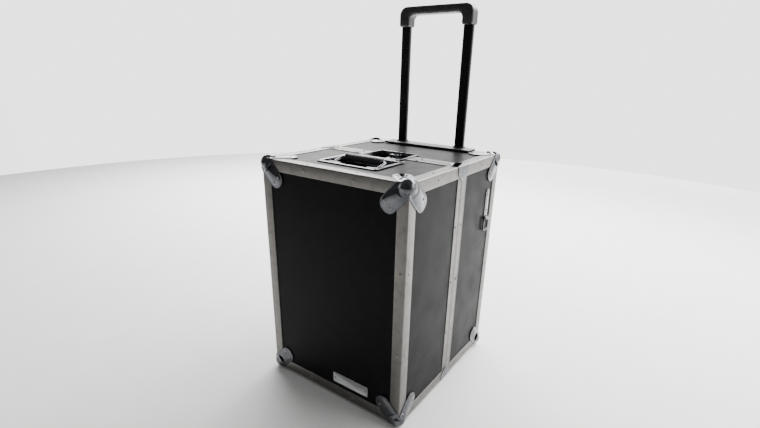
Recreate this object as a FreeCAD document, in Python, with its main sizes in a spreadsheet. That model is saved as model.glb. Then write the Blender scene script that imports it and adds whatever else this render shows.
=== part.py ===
import FreeCAD, Part
import os

import Sketcher
from FreeCAD import Placement, Rotation, Vector

# Equipment rack case that stands on end: a rear half that holds the rack rails, the trolley
# handle and the wheels, and a deep front cover that pulls off forwards.
# +Z is up, the front faces -Y and the origin is at the middle of the case's footprint.
# All sizes are in millimetres.

SIZES = [
    # outside of the closed case, over the aluminium edges; its width follows the rack units
    ("case_depth", 416.0),
    ("case_height", 533.0),
    ("cover_depth", 214.0),
    # panels and extrusions
    ("panel_thickness", 9.0),
    ("extrusion_wall", 1.5),
    ("edge_flange", 25.0),
    ("seam_flange", 20.6),
    ("seam_gap", 0.3),
    ("seam_web", 5.0),
    ("tongue_height", 2.7),
    ("tongue_thickness", 3.4),
    ("tongue_clearance", 0.3),
    # ball corners and seam braces
    ("ball_radius", 17.0),
    ("corner_proud", 7.0),
    ("corner_wall", 1.5),
    ("corner_tongue_width", 38.0),
    ("corner_tongue_reach", 59.0),
    ("corner_rivet_reach", 62.0),
    ("corner_rivet_offset", 9.0),
    ("brace_leg", 31.0),
    ("brace_length", 24.0),
    ("brace_wall", 1.2),
    # rivets
    ("rivet_radius", 3.6),
    ("rivet_height", 1.2),
    ("rivet_inset", 12.5),
    ("rivet_beside_latch", 26.0),
    ("seam_rivet_shift", 2.0),
    # carrying handle
    ("handle_dish_gap", 2.0),
    ("handle_dish_width", 160.0),
    ("handle_dish_depth", 110.0),
    ("handle_dish_rim", 9.0),
    ("handle_dish_recess", 22.0),
    ("dish_wall", 1.2),
    ("dish_clearance", 0.4),
    ("handle_pin_radius", 3.0),
    ("handle_pin_offset", 25.0),
    ("handle_pin_below", 8.0),
    ("handle_arm_reach", 38.0),
    ("handle_arm_centre", 58.0),
    ("handle_wire_radius", 4.0),
    ("handle_grip_length", 98.0),
    ("handle_grip_radius", 9.0),
    ("handle_lug_thickness", 4.0),
    ("handle_lug_half", 6.0),
    ("handle_eye_wall", 2.0),
    ("handle_side_gap", 1.0),
    ("handle_spring_radius", 5.6),
    ("handle_spring_length", 18.0),
    ("handle_spring_room", 0.5),
    ("pivot_clearance", 0.05),
    # butterfly latches
    ("latch_dish_width", 112.0),
    ("latch_dish_rim", 7.0),
    ("latch_dish_recess", 16.0),
    ("latch_spindle_offset", 21.0),
    ("latch_spindle_radius", 5.0),
    ("latch_cam_radius", 11.5),
    ("latch_hook_width", 26.0),
    ("latch_hook_thickness", 2.4),
    ("latch_hook_reach", 20.0),
    ("latch_hook_travel", 6.0),
    ("latch_hook_depth", 8.4),
    ("latch_hook_clearance", 0.5),
    ("latch_slot_room", 0.3),
    ("latch_slot_overrun", 1.2),
    ("latch_hook_tail", 4.0),
    ("latch_key_width", 28.0),
    ("latch_key_length", 18.5),
    ("latch_key_round", 7.0),
    ("latch_key_room", 2.3),
    ("latch_key_thickness", 1.8),
    ("latch_keeper_width", 22.0),
    ("latch_keeper_from_seam", 9.0),
    ("latch_keeper_thickness", 5.0),
    ("latch_fork_inner", 8.5),
    ("latch_fork_outer", 11.0),
    ("latch_fork_half", 4.0),
    ("latch_ear_half", 3.0),
    ("latch_ear_top", 1.4),
    ("latch_fork_top", 6.0),
    ("latch_hinge_depth", 3.6),
    ("latch_pin_radius", 1.2),
    ("latch_barrel_radius", 1.8),
    ("latch_barrel_room", 0.3),
    ("latch_wing_start", 4.5),
    # trolley handle
    ("pole_spacing", 170.0),
    ("pole_width", 25.0),
    ("pole_depth", 13.0),
    ("pole_wall", 1.5),
    ("pole_from_back", 11.0),
    ("pole_engaged", 113.0),
    ("pole_socket", 24.0),
    ("handle_travel", 275.0),
    ("guide_gap", 1.0),
    ("guide_wall", 1.5),
    ("guide_clearance", 0.3),
    ("grip_above_case", 330.0),
    ("grip_half_width", 99.0),
    ("grip_depth", 33.0),
    ("grip_thickness", 18.0),
    ("grip_leg_height", 45.0),
    ("grip_leg_width", 28.0),
    ("grip_corner_radius", 16.0),
    ("button_length", 36.0),
    ("button_width", 14.0),
    ("button_height", 9.0),
    ("button_travel", 5.0),
    ("lock_block_height", 22.0),
    ("lock_pin_radius", 3.0),
    ("lock_pin_travel", 3.0),
    ("bezel_half_width", 124.0),
    ("bezel_depth", 42.0),
    ("bezel_thickness", 5.0),
    ("bezel_skirt", 34.0),
    ("foot_bracket_height", 30.0),
    # wheels
    ("wheel_radius", 32.0),
    ("wheel_width", 24.0),
    ("wheel_centre", 95.0),
    ("wheel_behind", 22.0),
    ("wheel_above_floor", 1.0),
    ("hub_radius", 22.0),
    ("axle_radius", 4.0),
    ("axle_clearance", 0.05),
    ("wheel_gap", 2.0),
    ("housing_wall", 8.0),
    ("housing_skin", 1.5),
    ("housing_flange", 8.0),
    # 19 inch rack rails
    ("rack_units", 8.0),
    ("rack_unit_height", 44.45),
    ("rack_hole_spacing", 465.1),
    ("rack_opening", 450.0),
    ("rack_hole_radius", 3.4),
    ("rack_first_hole", 6.35),
    ("rack_hole_step", 15.875),
    ("rail_thickness", 2.0),
    ("rail_leg", 32.0),
    ("rail_from_seam", 62.0),
    ("rail_end_room", 1.4),
    # name plate on the front
    ("plate_length", 100.0),
    ("plate_height", 26.0),
    ("plate_thickness", 1.0),
    ("plate_centre_x", 54.0),
    ("plate_centre_z", 47.0),
    # strap and ring on the right side
    ("strap_from_front", 368.0),
    ("strap_bottom", 381.0),
    ("strap_length", 74.0),
    ("strap_width", 18.0),
    ("strap_thickness", 2.0),
    ("ring_width", 29.0),
    ("ring_drop", 32.0),
    ("ring_wire_radius", 2.2),
    ("ring_eye_radius", 4.2),
]

doc = FreeCAD.newDocument("equipment_rack_case")
sheet = doc.addObject("Spreadsheet::Sheet", "sizes")
for row, (alias, value) in enumerate(SIZES, start=1):
    sheet.set(f"A{row}", alias)
    sheet.set(f"B{row}", str(value))
    sheet.setAlias(f"B{row}", alias)
doc.recompute()


class Size:
    """A length written as a spreadsheet expression, so that sums of sizes stay bound to it."""

    def __init__(self, text):
        self.text = text

    def __str__(self):
        return self.text

    def join(self, sign, other, swap=False):
        left, right = (other, self) if swap else (self, other)
        return Size(f"({left} {sign} {right})")

    def __add__(self, other):
        return self.join("+", other)

    def __radd__(self, other):
        return self.join("+", other, swap=True)

    def __sub__(self, other):
        return self.join("-", other)

    def __rsub__(self, other):
        return self.join("-", other, swap=True)

    def __mul__(self, other):
        return self.join("*", other)

    def __rmul__(self, other):
        return self.join("*", other, swap=True)

    def __truediv__(self, other):
        return self.join("/", other)

    def __neg__(self):
        return Size(f"(0 - {self})")


class Sheet:
    """Reads a spreadsheet alias as a Size: sizes.case_width."""

    def __getattr__(self, alias):
        sheet.get(alias)
        return Size(f"sizes.{alias}")


size = Sheet()
nodes = []

# ------------------------------------------------------------------ small building tools


def bind(thing, prop, value):
    thing.setExpression(prop, str(value))


def put(thing, x, y, z):
    bind(thing, ".Placement.Base.x", x)
    bind(thing, ".Placement.Base.y", y)
    bind(thing, ".Placement.Base.z", z)


def block(name, xs, ys, zs):
    """A box between the two planes given for each axis."""
    box = doc.addObject("Part::Box", name)
    bind(box, "Length", f"{xs[1]} - ({xs[0]})")
    bind(box, "Width", f"{ys[1]} - ({ys[0]})")
    bind(box, "Height", f"{zs[1]} - ({zs[0]})")
    put(box, xs[0], ys[0], zs[0])
    return box


AXIS_TURN = {
    "x": Rotation(Vector(0, 1, 0), 90),
    "y": Rotation(Vector(1, 0, 0), -90),
    "z": Rotation(),
}


def rod(name, axis, centre, radius, span):
    """A cylinder along an axis: centre holds its other two coordinates, span its ends."""
    cylinder = doc.addObject("Part::Cylinder", name)
    cylinder.Placement = Placement(Vector(), AXIS_TURN[axis])
    bind(cylinder, "Radius", radius)
    bind(cylinder, "Height", f"{span[1]} - ({span[0]})")
    place = list(centre)
    place.insert("xyz".index(axis), span[0])
    put(cylinder, *place)
    return cylinder


def cut(name, base, *tools):
    for number, tool in enumerate(tools, start=1):
        result = doc.addObject("Part::Cut", name if number == len(tools) else f"{name}_stage")
        result.Base = base
        result.Tool = tool
        base = result
    return base


def fuse(name, *pieces):
    result = doc.addObject("Part::MultiFuse", name)
    result.Shapes = list(pieces)
    result.Refine = True
    return result


def group(name, pieces):
    result = doc.addObject("Part::Compound", name)
    result.Links = list(pieces)
    return result


def node(label, thing):
    thing.Label = label
    if thing.Label != label:
        raise RuntimeError(f"{label} is already the name of another object")
    nodes.append(thing)
    return thing


def mirrored(sign, low, high):
    """The span low..high on the side that sign says, lowest value first."""
    return (low, high) if sign > 0 else (-high, -low)


def plane_of(body, role):
    for plane in body.Origin.OriginFeatures:
        if plane.Role == role:
            return plane
    raise LookupError(role)


def outline(body, role, points, offset=0):
    """A closed polygon sketch on an origin plane, with every corner bound to the sheet."""
    sketch = body.newObject("Sketcher::SketchObject", "outline")
    sketch.AttachmentSupport = (plane_of(body, role), [""])
    sketch.MapMode = "FlatFace"
    bind(sketch, ".AttachmentOffset.Base.z", offset)
    count = len(points)
    spread = [(Vector(*start), Vector(*end)) for start, end in rough_sides(points)]
    for start, end in spread:
        sketch.addGeometry(Part.LineSegment(start, end), False)
    for side in range(count):
        sketch.addConstraint(Sketcher.Constraint("Coincident", side, 2, (side + 1) % count, 1))
    for side, (across, up) in enumerate(points):
        for kind, value in (("DistanceX", across), ("DistanceY", up)):
            rough = evaluate(value)
            index = sketch.addConstraint(Sketcher.Constraint(kind, -1, 1, side, 1, rough))
            bind(sketch, f"Constraints[{index}]", value)
    return sketch


def evaluate(value):
    """The present number behind a Size or a plain value."""
    return float(sheet.evalExpression(str(value)))


def rough_sides(points):
    flat = [(evaluate(across), evaluate(up), 0) for across, up in points]
    return list(zip(flat, flat[1:] + flat[:1]))


# ------------------------------------------------------------------ planes of the case

lining = size.extrusion_wall + size.panel_thickness
rail_length = size.rack_units * size.rack_unit_height
case_width = rail_length + size.rail_end_room + 2 * lining
half_width = case_width / 2
overall_depth = size.corner_proud + size.case_depth + size.wheel_behind
front = size.corner_proud - overall_depth / 2
back = front + size.case_depth
seam = front + size.cover_depth
bottom = size.corner_proud
top = bottom + size.case_height

wall = size.extrusion_wall
shell = lining + size.extrusion_wall
half_gap = size.seam_gap / 2

cover_seam = seam - half_gap
body_seam = seam + half_gap
cover_panel_end = cover_seam - size.seam_web
body_panel_start = body_seam + size.seam_web

pole_y = back - size.pole_from_back
guide_width = size.pole_width + 2 * (size.guide_gap + size.guide_wall)
guide_depth = size.pole_depth + 2 * (size.guide_gap + size.guide_wall)
latch_half_depth = (size.latch_spindle_offset + size.latch_key_length + size.latch_key_room
                    + size.dish_wall + size.latch_dish_rim)
handle_middle = seam - latch_half_depth - size.handle_dish_gap - size.handle_dish_depth / 2
axle_y = back + size.wheel_behind - size.wheel_radius
axle_z = size.wheel_radius + size.wheel_above_floor


# ------------------------------------------------------------------ cut-outs that panels share


def latch_cutout(sign):
    """Opening for a latch dish through the wall of the top (+1) or the bottom (-1)."""
    reach = size.latch_dish_width / 2 - size.latch_dish_rim + size.dish_clearance
    run = latch_half_depth - size.latch_dish_rim + size.dish_clearance
    zs = (top - 20, top + 20) if sign > 0 else (bottom - 20, bottom + 20)
    return block("latch_cutout", (-reach, reach), (seam - run, seam + run), zs)


def handle_cutout():
    reach = size.handle_dish_width / 2 - size.handle_dish_rim + size.dish_clearance
    run = size.handle_dish_depth / 2 - size.handle_dish_rim + size.dish_clearance
    return block("handle_cutout", (-reach, reach), (handle_middle - run, handle_middle + run),
                 (top - 20, top + 5))


def guide_cutout(side):
    reach = guide_width / 2 + size.guide_clearance
    run = guide_depth / 2 + size.guide_clearance
    middle = side * size.pole_spacing / 2
    ys = (pole_y - run, back - wall)
    return block("guide_cutout", (middle - reach, middle + reach), ys, (guide_bottom - 1, top + 1))


def housing_cutout(side):
    reach = size.wheel_width / 2 + size.wheel_gap + size.housing_wall + size.dish_clearance
    middle = side * size.wheel_centre
    depth = size.wheel_radius + size.wheel_gap + size.housing_skin + size.dish_clearance
    xs = (middle - reach, middle + reach)
    return block("housing_cutout", xs, (axle_y - depth, back + 1), (bottom - 1, axle_z + depth))


pole_top = top + size.grip_above_case - size.grip_leg_height + size.pole_socket
pole_bottom = top - size.pole_engaged
guide_bottom = pole_bottom - size.handle_travel - size.lock_block_height - 3


# ------------------------------------------------------------------ panels


def make_panels():
    side_xs = (half_width - lining, half_width - wall)
    between_xs = (-(half_width - lining), half_width - lining)
    full_zs = (bottom + wall, top - wall)
    inner_zs = (bottom + lining, top - lining)
    top_zs = (top - lining, top - wall)
    bottom_zs = (bottom + wall, bottom + lining)
    cover_ys = (front + wall, cover_panel_end)
    body_ys = (body_panel_start, back - wall)

    node("cover_front_panel",
         block("cover_front_panel", between_xs, (front + wall, front + lining), inner_zs))
    for half, ys in (("cover", cover_ys), ("body", body_ys)):
        for side, word in ((-1, "left"), (1, "right")):
            name = f"{half}_{word}_panel"
            node(name, block(name, mirrored(side, *side_xs), ys, full_zs))

    top_blank = block("cover_top_blank", between_xs, cover_ys, top_zs)
    node("cover_top_panel", cut("cover_top_panel", top_blank, handle_cutout(), latch_cutout(1)))
    bottom_blank = block("cover_bottom_blank", between_xs, cover_ys, bottom_zs)
    node("cover_bottom_panel", cut("cover_bottom_panel", bottom_blank, latch_cutout(-1)))

    body_top_blank = block("body_top_blank", between_xs, body_ys, top_zs)
    node("body_top_panel",
         cut("body_top_panel", body_top_blank, latch_cutout(1), guide_cutout(-1), guide_cutout(1)))
    body_bottom_blank = block("body_bottom_blank", between_xs, body_ys, bottom_zs)
    node("body_bottom_panel",
         cut("body_bottom_panel", body_bottom_blank, latch_cutout(-1),
             housing_cutout(-1), housing_cutout(1)))
    rear_blank = block("rear_blank", between_xs, (back - lining, back - wall), inner_zs)
    node("rear_panel",
         cut("rear_panel", rear_blank, guide_cutout(-1), guide_cutout(1),
             housing_cutout(-1), housing_cutout(1)))


# ------------------------------------------------------------------ aluminium edges


def angle_bar(name, outer, inner):
    """An angle extrusion: a square bar less the bar that fills its inside corner."""
    return cut(name, block(f"{name}_outer", *outer), block(f"{name}_inner", *inner))


def edge_spans(side_x, side_z):
    """Cross-section spans, in x and z, of a bar along one of the four lengthwise edges."""
    xs = mirrored(side_x, half_width - size.edge_flange, half_width)
    inner_xs = mirrored(side_x, half_width - size.edge_flange - 1, half_width - wall)
    if side_z > 0:
        return (xs, (top - size.edge_flange, top)), (inner_xs, (top - size.edge_flange - 1, top - wall))
    return (xs, (bottom, bottom + size.edge_flange)), (
        inner_xs, (bottom + wall, bottom + size.edge_flange + 1))


def lengthwise_bars(prefix, ys):
    bars = []
    longer = (ys[0] - 1, ys[1] + 1)
    for side_x in (-1, 1):
        for side_z in (-1, 1):
            (xs, zs), (inner_xs, inner_zs) = edge_spans(side_x, side_z)
            bars.append(angle_bar(f"{prefix}_bar", (xs, ys, zs), (inner_xs, longer, inner_zs)))
    return bars


def ring_bars(prefix, ys, inner_ys, cutouts):
    """The four bars round the front face or the back face, uprights at full height."""
    flange = size.edge_flange
    bars = []
    for side in (-1, 1):
        xs = mirrored(side, half_width - flange, half_width)
        inner_xs = mirrored(side, half_width - flange - 1, half_width - wall)
        bars.append(angle_bar(f"{prefix}_upright", (xs, ys, (bottom, top)),
                              (inner_xs, inner_ys, (bottom - 1, top + 1))))
    xs = (-(half_width - flange), half_width - flange)
    longer = (xs[0] - 1, xs[1] + 1)
    for zs, inner_zs, tools in (
        ((top - flange, top), (top - flange - 1, top - wall), cutouts[0]),
        ((bottom, bottom + flange), (bottom + wall, bottom + flange + 1), cutouts[1]),
    ):
        bar = angle_bar(f"{prefix}_crossbar", (xs, ys, zs), (longer, inner_ys, inner_zs))
        bars.append(cut(f"{prefix}_crossbar", bar, *tools) if tools else bar)
    return bars


def make_edges():
    flange = size.edge_flange
    node("cover_front_edges", group("cover_front_edges", ring_bars(
        "cover_front", (front, front + flange), (front + wall, front + flange + 1), ((), ()))))
    node("cover_side_edges", group("cover_side_edges", lengthwise_bars(
        "cover_side", (front + flange, cover_seam))))
    above = (guide_cutout(-1), guide_cutout(1))
    below = (housing_cutout(-1), housing_cutout(1))
    node("body_rear_edges", group("body_rear_edges", ring_bars(
        "body_rear", (back - flange, back), (back - flange - 1, back - wall), (above, below))))
    node("body_side_edges", group("body_side_edges", lengthwise_bars(
        "body_side", (body_seam, back - flange))))


def seam_bar(name, spans, has_tongue, cutout):
    """A seam extrusion that grips the panel edge; spans(low, high, near, far) gives its boxes."""
    blank = block(f"{name}_blank", *spans(0, size.seam_flange, 0, shell))
    slot = block(f"{name}_slot", *spans(size.seam_web, size.seam_flange + 1, wall, lining))
    middle = shell / 2
    half_tongue = size.tongue_thickness / 2
    if has_tongue:
        bar = cut(name, blank, slot)
        tongue = block(f"{name}_tongue", *spans(
            -size.tongue_height, 1, middle - half_tongue, middle + half_tongue))
        bar = fuse(name, bar, tongue)
    else:
        room = half_tongue + size.tongue_clearance
        groove = block(f"{name}_groove", *spans(
            -1, size.tongue_height + size.tongue_clearance, middle - room, middle + room))
        bar = cut(name, blank, slot, groove)
    return cut(name, bar, cutout) if cutout else bar


def make_seam():
    reach = half_width - size.edge_flange
    low = bottom + size.edge_flange
    high = top - size.edge_flange
    for half, has_tongue in (("cover", False), ("body", True)):
        label = "cover_groove_frame" if half == "cover" else "body_tongue_frame"

        def along(start, end, half=half):
            if half == "cover":
                return (cover_seam - end, cover_seam - start)
            return (body_seam + start, body_seam + end)

        bars = []
        for side in (-1, 1):
            def upright(start, end, near, far, side=side):
                xs = mirrored(side, half_width - far, half_width - near)
                return xs, along(start, end), (low, high)

            bars.append(seam_bar(f"{half}_seam_upright", upright, has_tongue, None))

            def crossbar(start, end, near, far, side=side):
                if side > 0:
                    zs = (top - far, top - near)
                else:
                    zs = (bottom + near, bottom + far)
                return (-reach, reach), along(start, end), zs

            bars.append(seam_bar(f"{half}_seam_crossbar", crossbar, has_tongue,
                                 latch_cutout(side)))
        node(label, group(label, bars))


def make_braces():
    """Small angle braces over the lengthwise edges, one each side of the seam."""
    over = size.brace_wall
    for half in ("cover", "body"):
        if half == "cover":
            ys = (cover_seam - size.brace_length, cover_seam)
        else:
            ys = (body_seam, body_seam + size.brace_length)
        longer = (ys[0] - 1, ys[1] + 1)
        braces = []
        for side_x in (-1, 1):
            xs = mirrored(side_x, half_width - size.brace_leg, half_width + over)
            inner_xs = mirrored(side_x, half_width - size.brace_leg - 1, half_width)
            for zs, inner_zs in (
                ((top - size.brace_leg, top + over), (top - size.brace_leg - 1, top)),
                ((bottom - over, bottom + size.brace_leg), (bottom, bottom + size.brace_leg + 1)),
            ):
                braces.append(angle_bar(f"{half}_brace", (xs, ys, zs), (inner_xs, longer, inner_zs)))
        node(f"{half}_seam_braces", group(f"{half}_seam_braces", braces))


# ------------------------------------------------------------------ ball corners

# A corner is built with the case in its positive octant, then turned to its place.


def ball_corner(name, quarter, side_z, y, side_x):
    inset = size.ball_radius - size.corner_proud
    ball = doc.addObject("Part::Sphere", f"{name}_ball")
    bind(ball, "Radius", size.ball_radius)
    put(ball, inset, inset, inset)
    tongues = []
    half = size.corner_tongue_width / 2
    for turn in (Rotation(), Rotation(Vector(1, 1, 1), 120), Rotation(Vector(1, 1, 1), 240)):
        strip = block(f"{name}_strip", (0, size.corner_tongue_reach), (-half, half),
                      (-size.corner_wall, 0))
        tip = rod(f"{name}_tip", "z", (size.corner_tongue_reach, 0), half, (-size.corner_wall, 0))
        tongue = fuse(f"{name}_tongue", strip, tip)
        tongue.Placement = Placement(Vector(), turn * Rotation(Vector(0, 0, 1), 45))
        tongues.append(tongue)
    beyond = size.corner_tongue_reach * 2
    reach = (-size.corner_wall, beyond)
    trimmed = doc.addObject("Part::Common", f"{name}_plates")
    trimmed.Base = fuse(f"{name}_tongues", *tongues)
    trimmed.Tool = block(f"{name}_limits", reach, reach, reach)
    case = block(f"{name}_case", (0, beyond), (0, beyond), (0, beyond))
    corner = cut(name, fuse(f"{name}_pressing", ball, trimmed), case)
    turn = Rotation(Vector(0, 0, 1), 90 * quarter)
    if side_z > 0:
        turn = turn * Rotation(Vector(1, 0, 0), 180)
    corner.Placement = Placement(Vector(), turn)
    x = half_width if side_x > 0 else -half_width
    put(corner, x, y, top if side_z > 0 else bottom)
    return corner


# Quarter turns that bring the positive octant (or its flipped copy) to each corner.
CORNER_TURNS = {
    (-1, -1, -1): 0,
    (1, -1, -1): 1,
    (1, 1, -1): 2,
    (-1, 1, -1): 3,
    (-1, 1, 1): 0,
    (-1, -1, 1): 1,
    (1, -1, 1): 2,
    (1, 1, 1): 3,
}


def make_corners():
    for half, side_y, y in (("cover", -1, front), ("body", 1, back)):
        corners = []
        for side_x in (-1, 1):
            for side_z in (-1, 1):
                quarter = CORNER_TURNS[(side_x, side_y, side_z)]
                corners.append(ball_corner(f"{half}_corner", quarter, side_z, y, side_x))
        node(f"{half}_ball_corners", group(f"{half}_ball_corners", corners))


# ------------------------------------------------------------------ rivets

FACE_TURN = {
    "top": Rotation(),
    "bottom": Rotation(Vector(1, 0, 0), 180),
    "front": Rotation(Vector(1, 0, 0), 90),
    "back": Rotation(Vector(1, 0, 0), -90),
    "right": Rotation(Vector(0, 1, 0), 90),
    "left": Rotation(Vector(0, 1, 0), -90),
}


def rivet(face, across, up, lift=0):
    """A rivet head on a face: across and up are its coordinates in the face's own plane."""
    head = doc.addObject("Part::Cylinder", "rivet")
    head.Placement = Placement(Vector(), FACE_TURN[face])
    bind(head, "Radius", size.rivet_radius)
    bind(head, "Height", size.rivet_height)
    places = {
        "top": (across, up, top + lift),
        "bottom": (across, up, bottom - lift),
        "front": (across, front - lift, up),
        "back": (across, back + lift, up),
        "right": (half_width + lift, across, up),
        "left": (-half_width - lift, across, up),
    }
    put(head, *places[face])
    return head


def corner_rivets(face, corner, inward):
    """Two rivets at the end of a corner tongue; inward holds the signs towards the face's middle."""
    along = size.corner_rivet_reach * 0.70711
    apart = size.corner_rivet_offset * 0.70711
    heads = []
    for swap in (-1, 1):
        across = corner[0] + inward[0] * (along + swap * apart)
        up = corner[1] + inward[1] * (along - swap * apart)
        heads.append(rivet(face, across, up, size.corner_wall))
    return heads


def half_rivets(end_face, end_y, end_sign, mid_y):
    """Rivets of one half of the case: its end ring, lengthwise edges and ball corners."""
    inset = size.rivet_inset
    heads = []
    low = bottom + size.case_height * 0.33
    high = bottom + size.case_height * 0.67
    side_x = half_width - inset
    for x in (-side_x, side_x):
        for z in (low, high):
            heads.append(rivet(end_face, x, z))
    for face in ("left", "right"):
        for z in (low, high):
            heads.append(rivet(face, end_y - end_sign * inset, z))
        for z in (top - inset, bottom + inset):
            heads.append(rivet(face, mid_y, z))
    for face in ("top", "bottom"):
        for x in (-side_x, side_x):
            heads.append(rivet(face, x, mid_y))
    for sx in (-1, 1):
        x = half_width if sx > 0 else -half_width
        for sz in (-1, 1):
            z = top if sz > 0 else bottom
            heads += corner_rivets(end_face, (x, z), (-sx, -sz))
            heads += corner_rivets("top" if sz > 0 else "bottom", (x, end_y), (-sx, -end_sign))
            heads += corner_rivets("right" if sx > 0 else "left", (end_y, z), (-end_sign, -sz))
    return heads


def crossbar_rivets(end_face, end_y, end_sign, faces, reach):
    heads = []
    for x in (-reach, reach):
        for face in faces:
            edge = top - size.rivet_inset if face == "top" else bottom + size.rivet_inset
            heads.append(rivet(end_face, x, edge))
            heads.append(rivet(face, x, end_y - end_sign * size.rivet_inset))
    return heads


def seam_rivets(y):
    heads = []
    reach = size.latch_dish_width / 2 + size.rivet_beside_latch
    for face in ("top", "bottom"):
        for x in (-reach, reach):
            heads.append(rivet(face, x, y))
    for face in ("left", "right"):
        for share in (0.25, 0.5, 0.75):
            heads.append(rivet(face, y, bottom + size.case_height * share))
    return heads


def make_rivets():
    reach = case_width * 0.17
    middle = front + size.cover_depth / 2
    heads = half_rivets("front", front, -1, middle)
    heads += crossbar_rivets("front", front, -1, ("top", "bottom"), reach)
    heads += seam_rivets(cover_seam - size.seam_flange / 2 - size.seam_rivet_shift)
    node("cover_rivets", group("cover_rivets", heads))
    middle = (seam + back) / 2
    heads = half_rivets("back", back, 1, middle)
    heads += seam_rivets(body_seam + size.seam_flange / 2 + size.seam_rivet_shift)
    node("body_rivets", group("body_rivets", heads))


# ------------------------------------------------------------------ carrying handle

HANDLE_REST_ANGLE = 15


def pan(name, xs, ys, surface, sign, recess, rim, open_side=None):
    """A pressed dish: a flat rim on the surface and a pocket; open_side leaves one end open."""
    skin = size.dish_wall

    def zs(near, far):
        return (surface - far, surface - near) if sign > 0 else (surface + near, surface + far)

    low_rim = 0 if open_side == "low" else rim
    high_rim = 0 if open_side == "high" else rim
    rim_plate = block(f"{name}_rim", xs, ys, zs(-skin, 0))
    cup = block(f"{name}_cup", (xs[0] + rim, xs[1] - rim), (ys[0] + low_rim, ys[1] - high_rim),
                zs(-skin, recess))
    low_skin = -1 if open_side == "low" else rim + skin
    high_skin = -1 if open_side == "high" else rim + skin
    pocket = block(f"{name}_pocket", (xs[0] + rim + skin, xs[1] - rim - skin),
                   (ys[0] + low_skin, ys[1] - high_skin), zs(-skin - 1, recess - skin))
    return cut(name, fuse(f"{name}_pressing", rim_plate, cup), pocket)


def make_carry_handle():
    pin_y = handle_middle - size.handle_pin_offset
    pin_z = top - size.handle_pin_below
    half_length = size.handle_dish_width / 2
    half_run = size.handle_dish_depth / 2
    recess = size.handle_dish_recess
    eye = size.handle_wire_radius + size.handle_eye_wall
    arm = size.handle_arm_centre
    wire = size.handle_wire_radius

    ys = (handle_middle - half_run, handle_middle + half_run)
    dish = pan("handle_dish", (-half_length, half_length), ys,
               top, 1, recess, size.handle_dish_rim)
    lug_start = arm + wire + size.handle_side_gap
    lug_end = lug_start + size.handle_lug_thickness
    lugs = [
        block("handle_lug", mirrored(side, lug_start, lug_end),
              (pin_y - size.handle_lug_half, pin_y + size.handle_lug_half),
              (top - recess, pin_z + size.handle_lug_half))
        for side in (-1, 1)
    ]
    bore = rod("handle_lug_bore", "x", (pin_y, pin_z), size.handle_pin_radius,
               (-lug_end - 1, lug_end + 1))
    node("carry_handle_dish", cut("carry_handle_dish", fuse("handle_dish_lugs", dish, *lugs), bore))
    node("carry_handle_pin",
         rod("carry_handle_pin", "x", (pin_y, pin_z), size.handle_pin_radius, (-lug_end, lug_end)))

    spring_end = arm - wire - size.handle_side_gap
    springs = []
    for side in (-1, 1):
        span = mirrored(side, spring_end - size.handle_spring_length, spring_end)
        coil = rod("handle_spring_coil", "x", (pin_y, pin_z), size.handle_spring_radius, span)
        hole = rod("handle_spring_hole", "x", (pin_y, pin_z),
                   size.handle_pin_radius + size.handle_spring_room, (span[0] - 1, span[1] + 1))
        springs.append(cut("handle_spring", coil, hole))
    node("carry_handle_springs", group("carry_handle_springs", springs))

    # The bail lies along +Y from its pin, and rests with its grip raised.
    rest = Rotation(Vector(1, 0, 0), HANDLE_REST_ANGLE)
    reach = size.handle_arm_reach
    eye_half = wire + size.handle_side_gap / 2
    eyes = [rod("bail_eye", "x", (0, 0), eye, mirrored(side, arm - eye_half, arm + eye_half))
            for side in (-1, 1)]
    arms = [rod("bail_arm", "y", (side * arm, 0), wire, (0, reach)) for side in (-1, 1)]
    across = rod("bail_across", "x", (reach, 0), wire, (-arm, arm))
    elbows = []
    for side in (-1, 1):
        elbow = doc.addObject("Part::Sphere", "bail_elbow")
        bind(elbow, "Radius", wire)
        put(elbow, side * arm, reach, 0)
        elbows.append(elbow)
    hole = rod("bail_hole", "x", (0, 0), size.handle_pin_radius + size.pivot_clearance,
               (-lug_start, lug_start))
    bail = cut("carry_handle_bail", fuse("bail_wire", across, *eyes, *arms, *elbows), hole)
    grip_half = size.handle_grip_length / 2
    grip = cut("carry_handle_grip",
               rod("grip_outer", "x", (reach, 0), size.handle_grip_radius, (-grip_half, grip_half)),
               rod("grip_bore", "x", (reach, 0), wire, (-grip_half - 1, grip_half + 1)))
    for label, thing in (("carry_handle_bail", bail), ("carry_handle_grip", grip)):
        thing.Placement = Placement(Vector(), rest)
        put(thing, 0, pin_y, pin_z)
        node(label, thing)


# ------------------------------------------------------------------ butterfly latches


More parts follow.
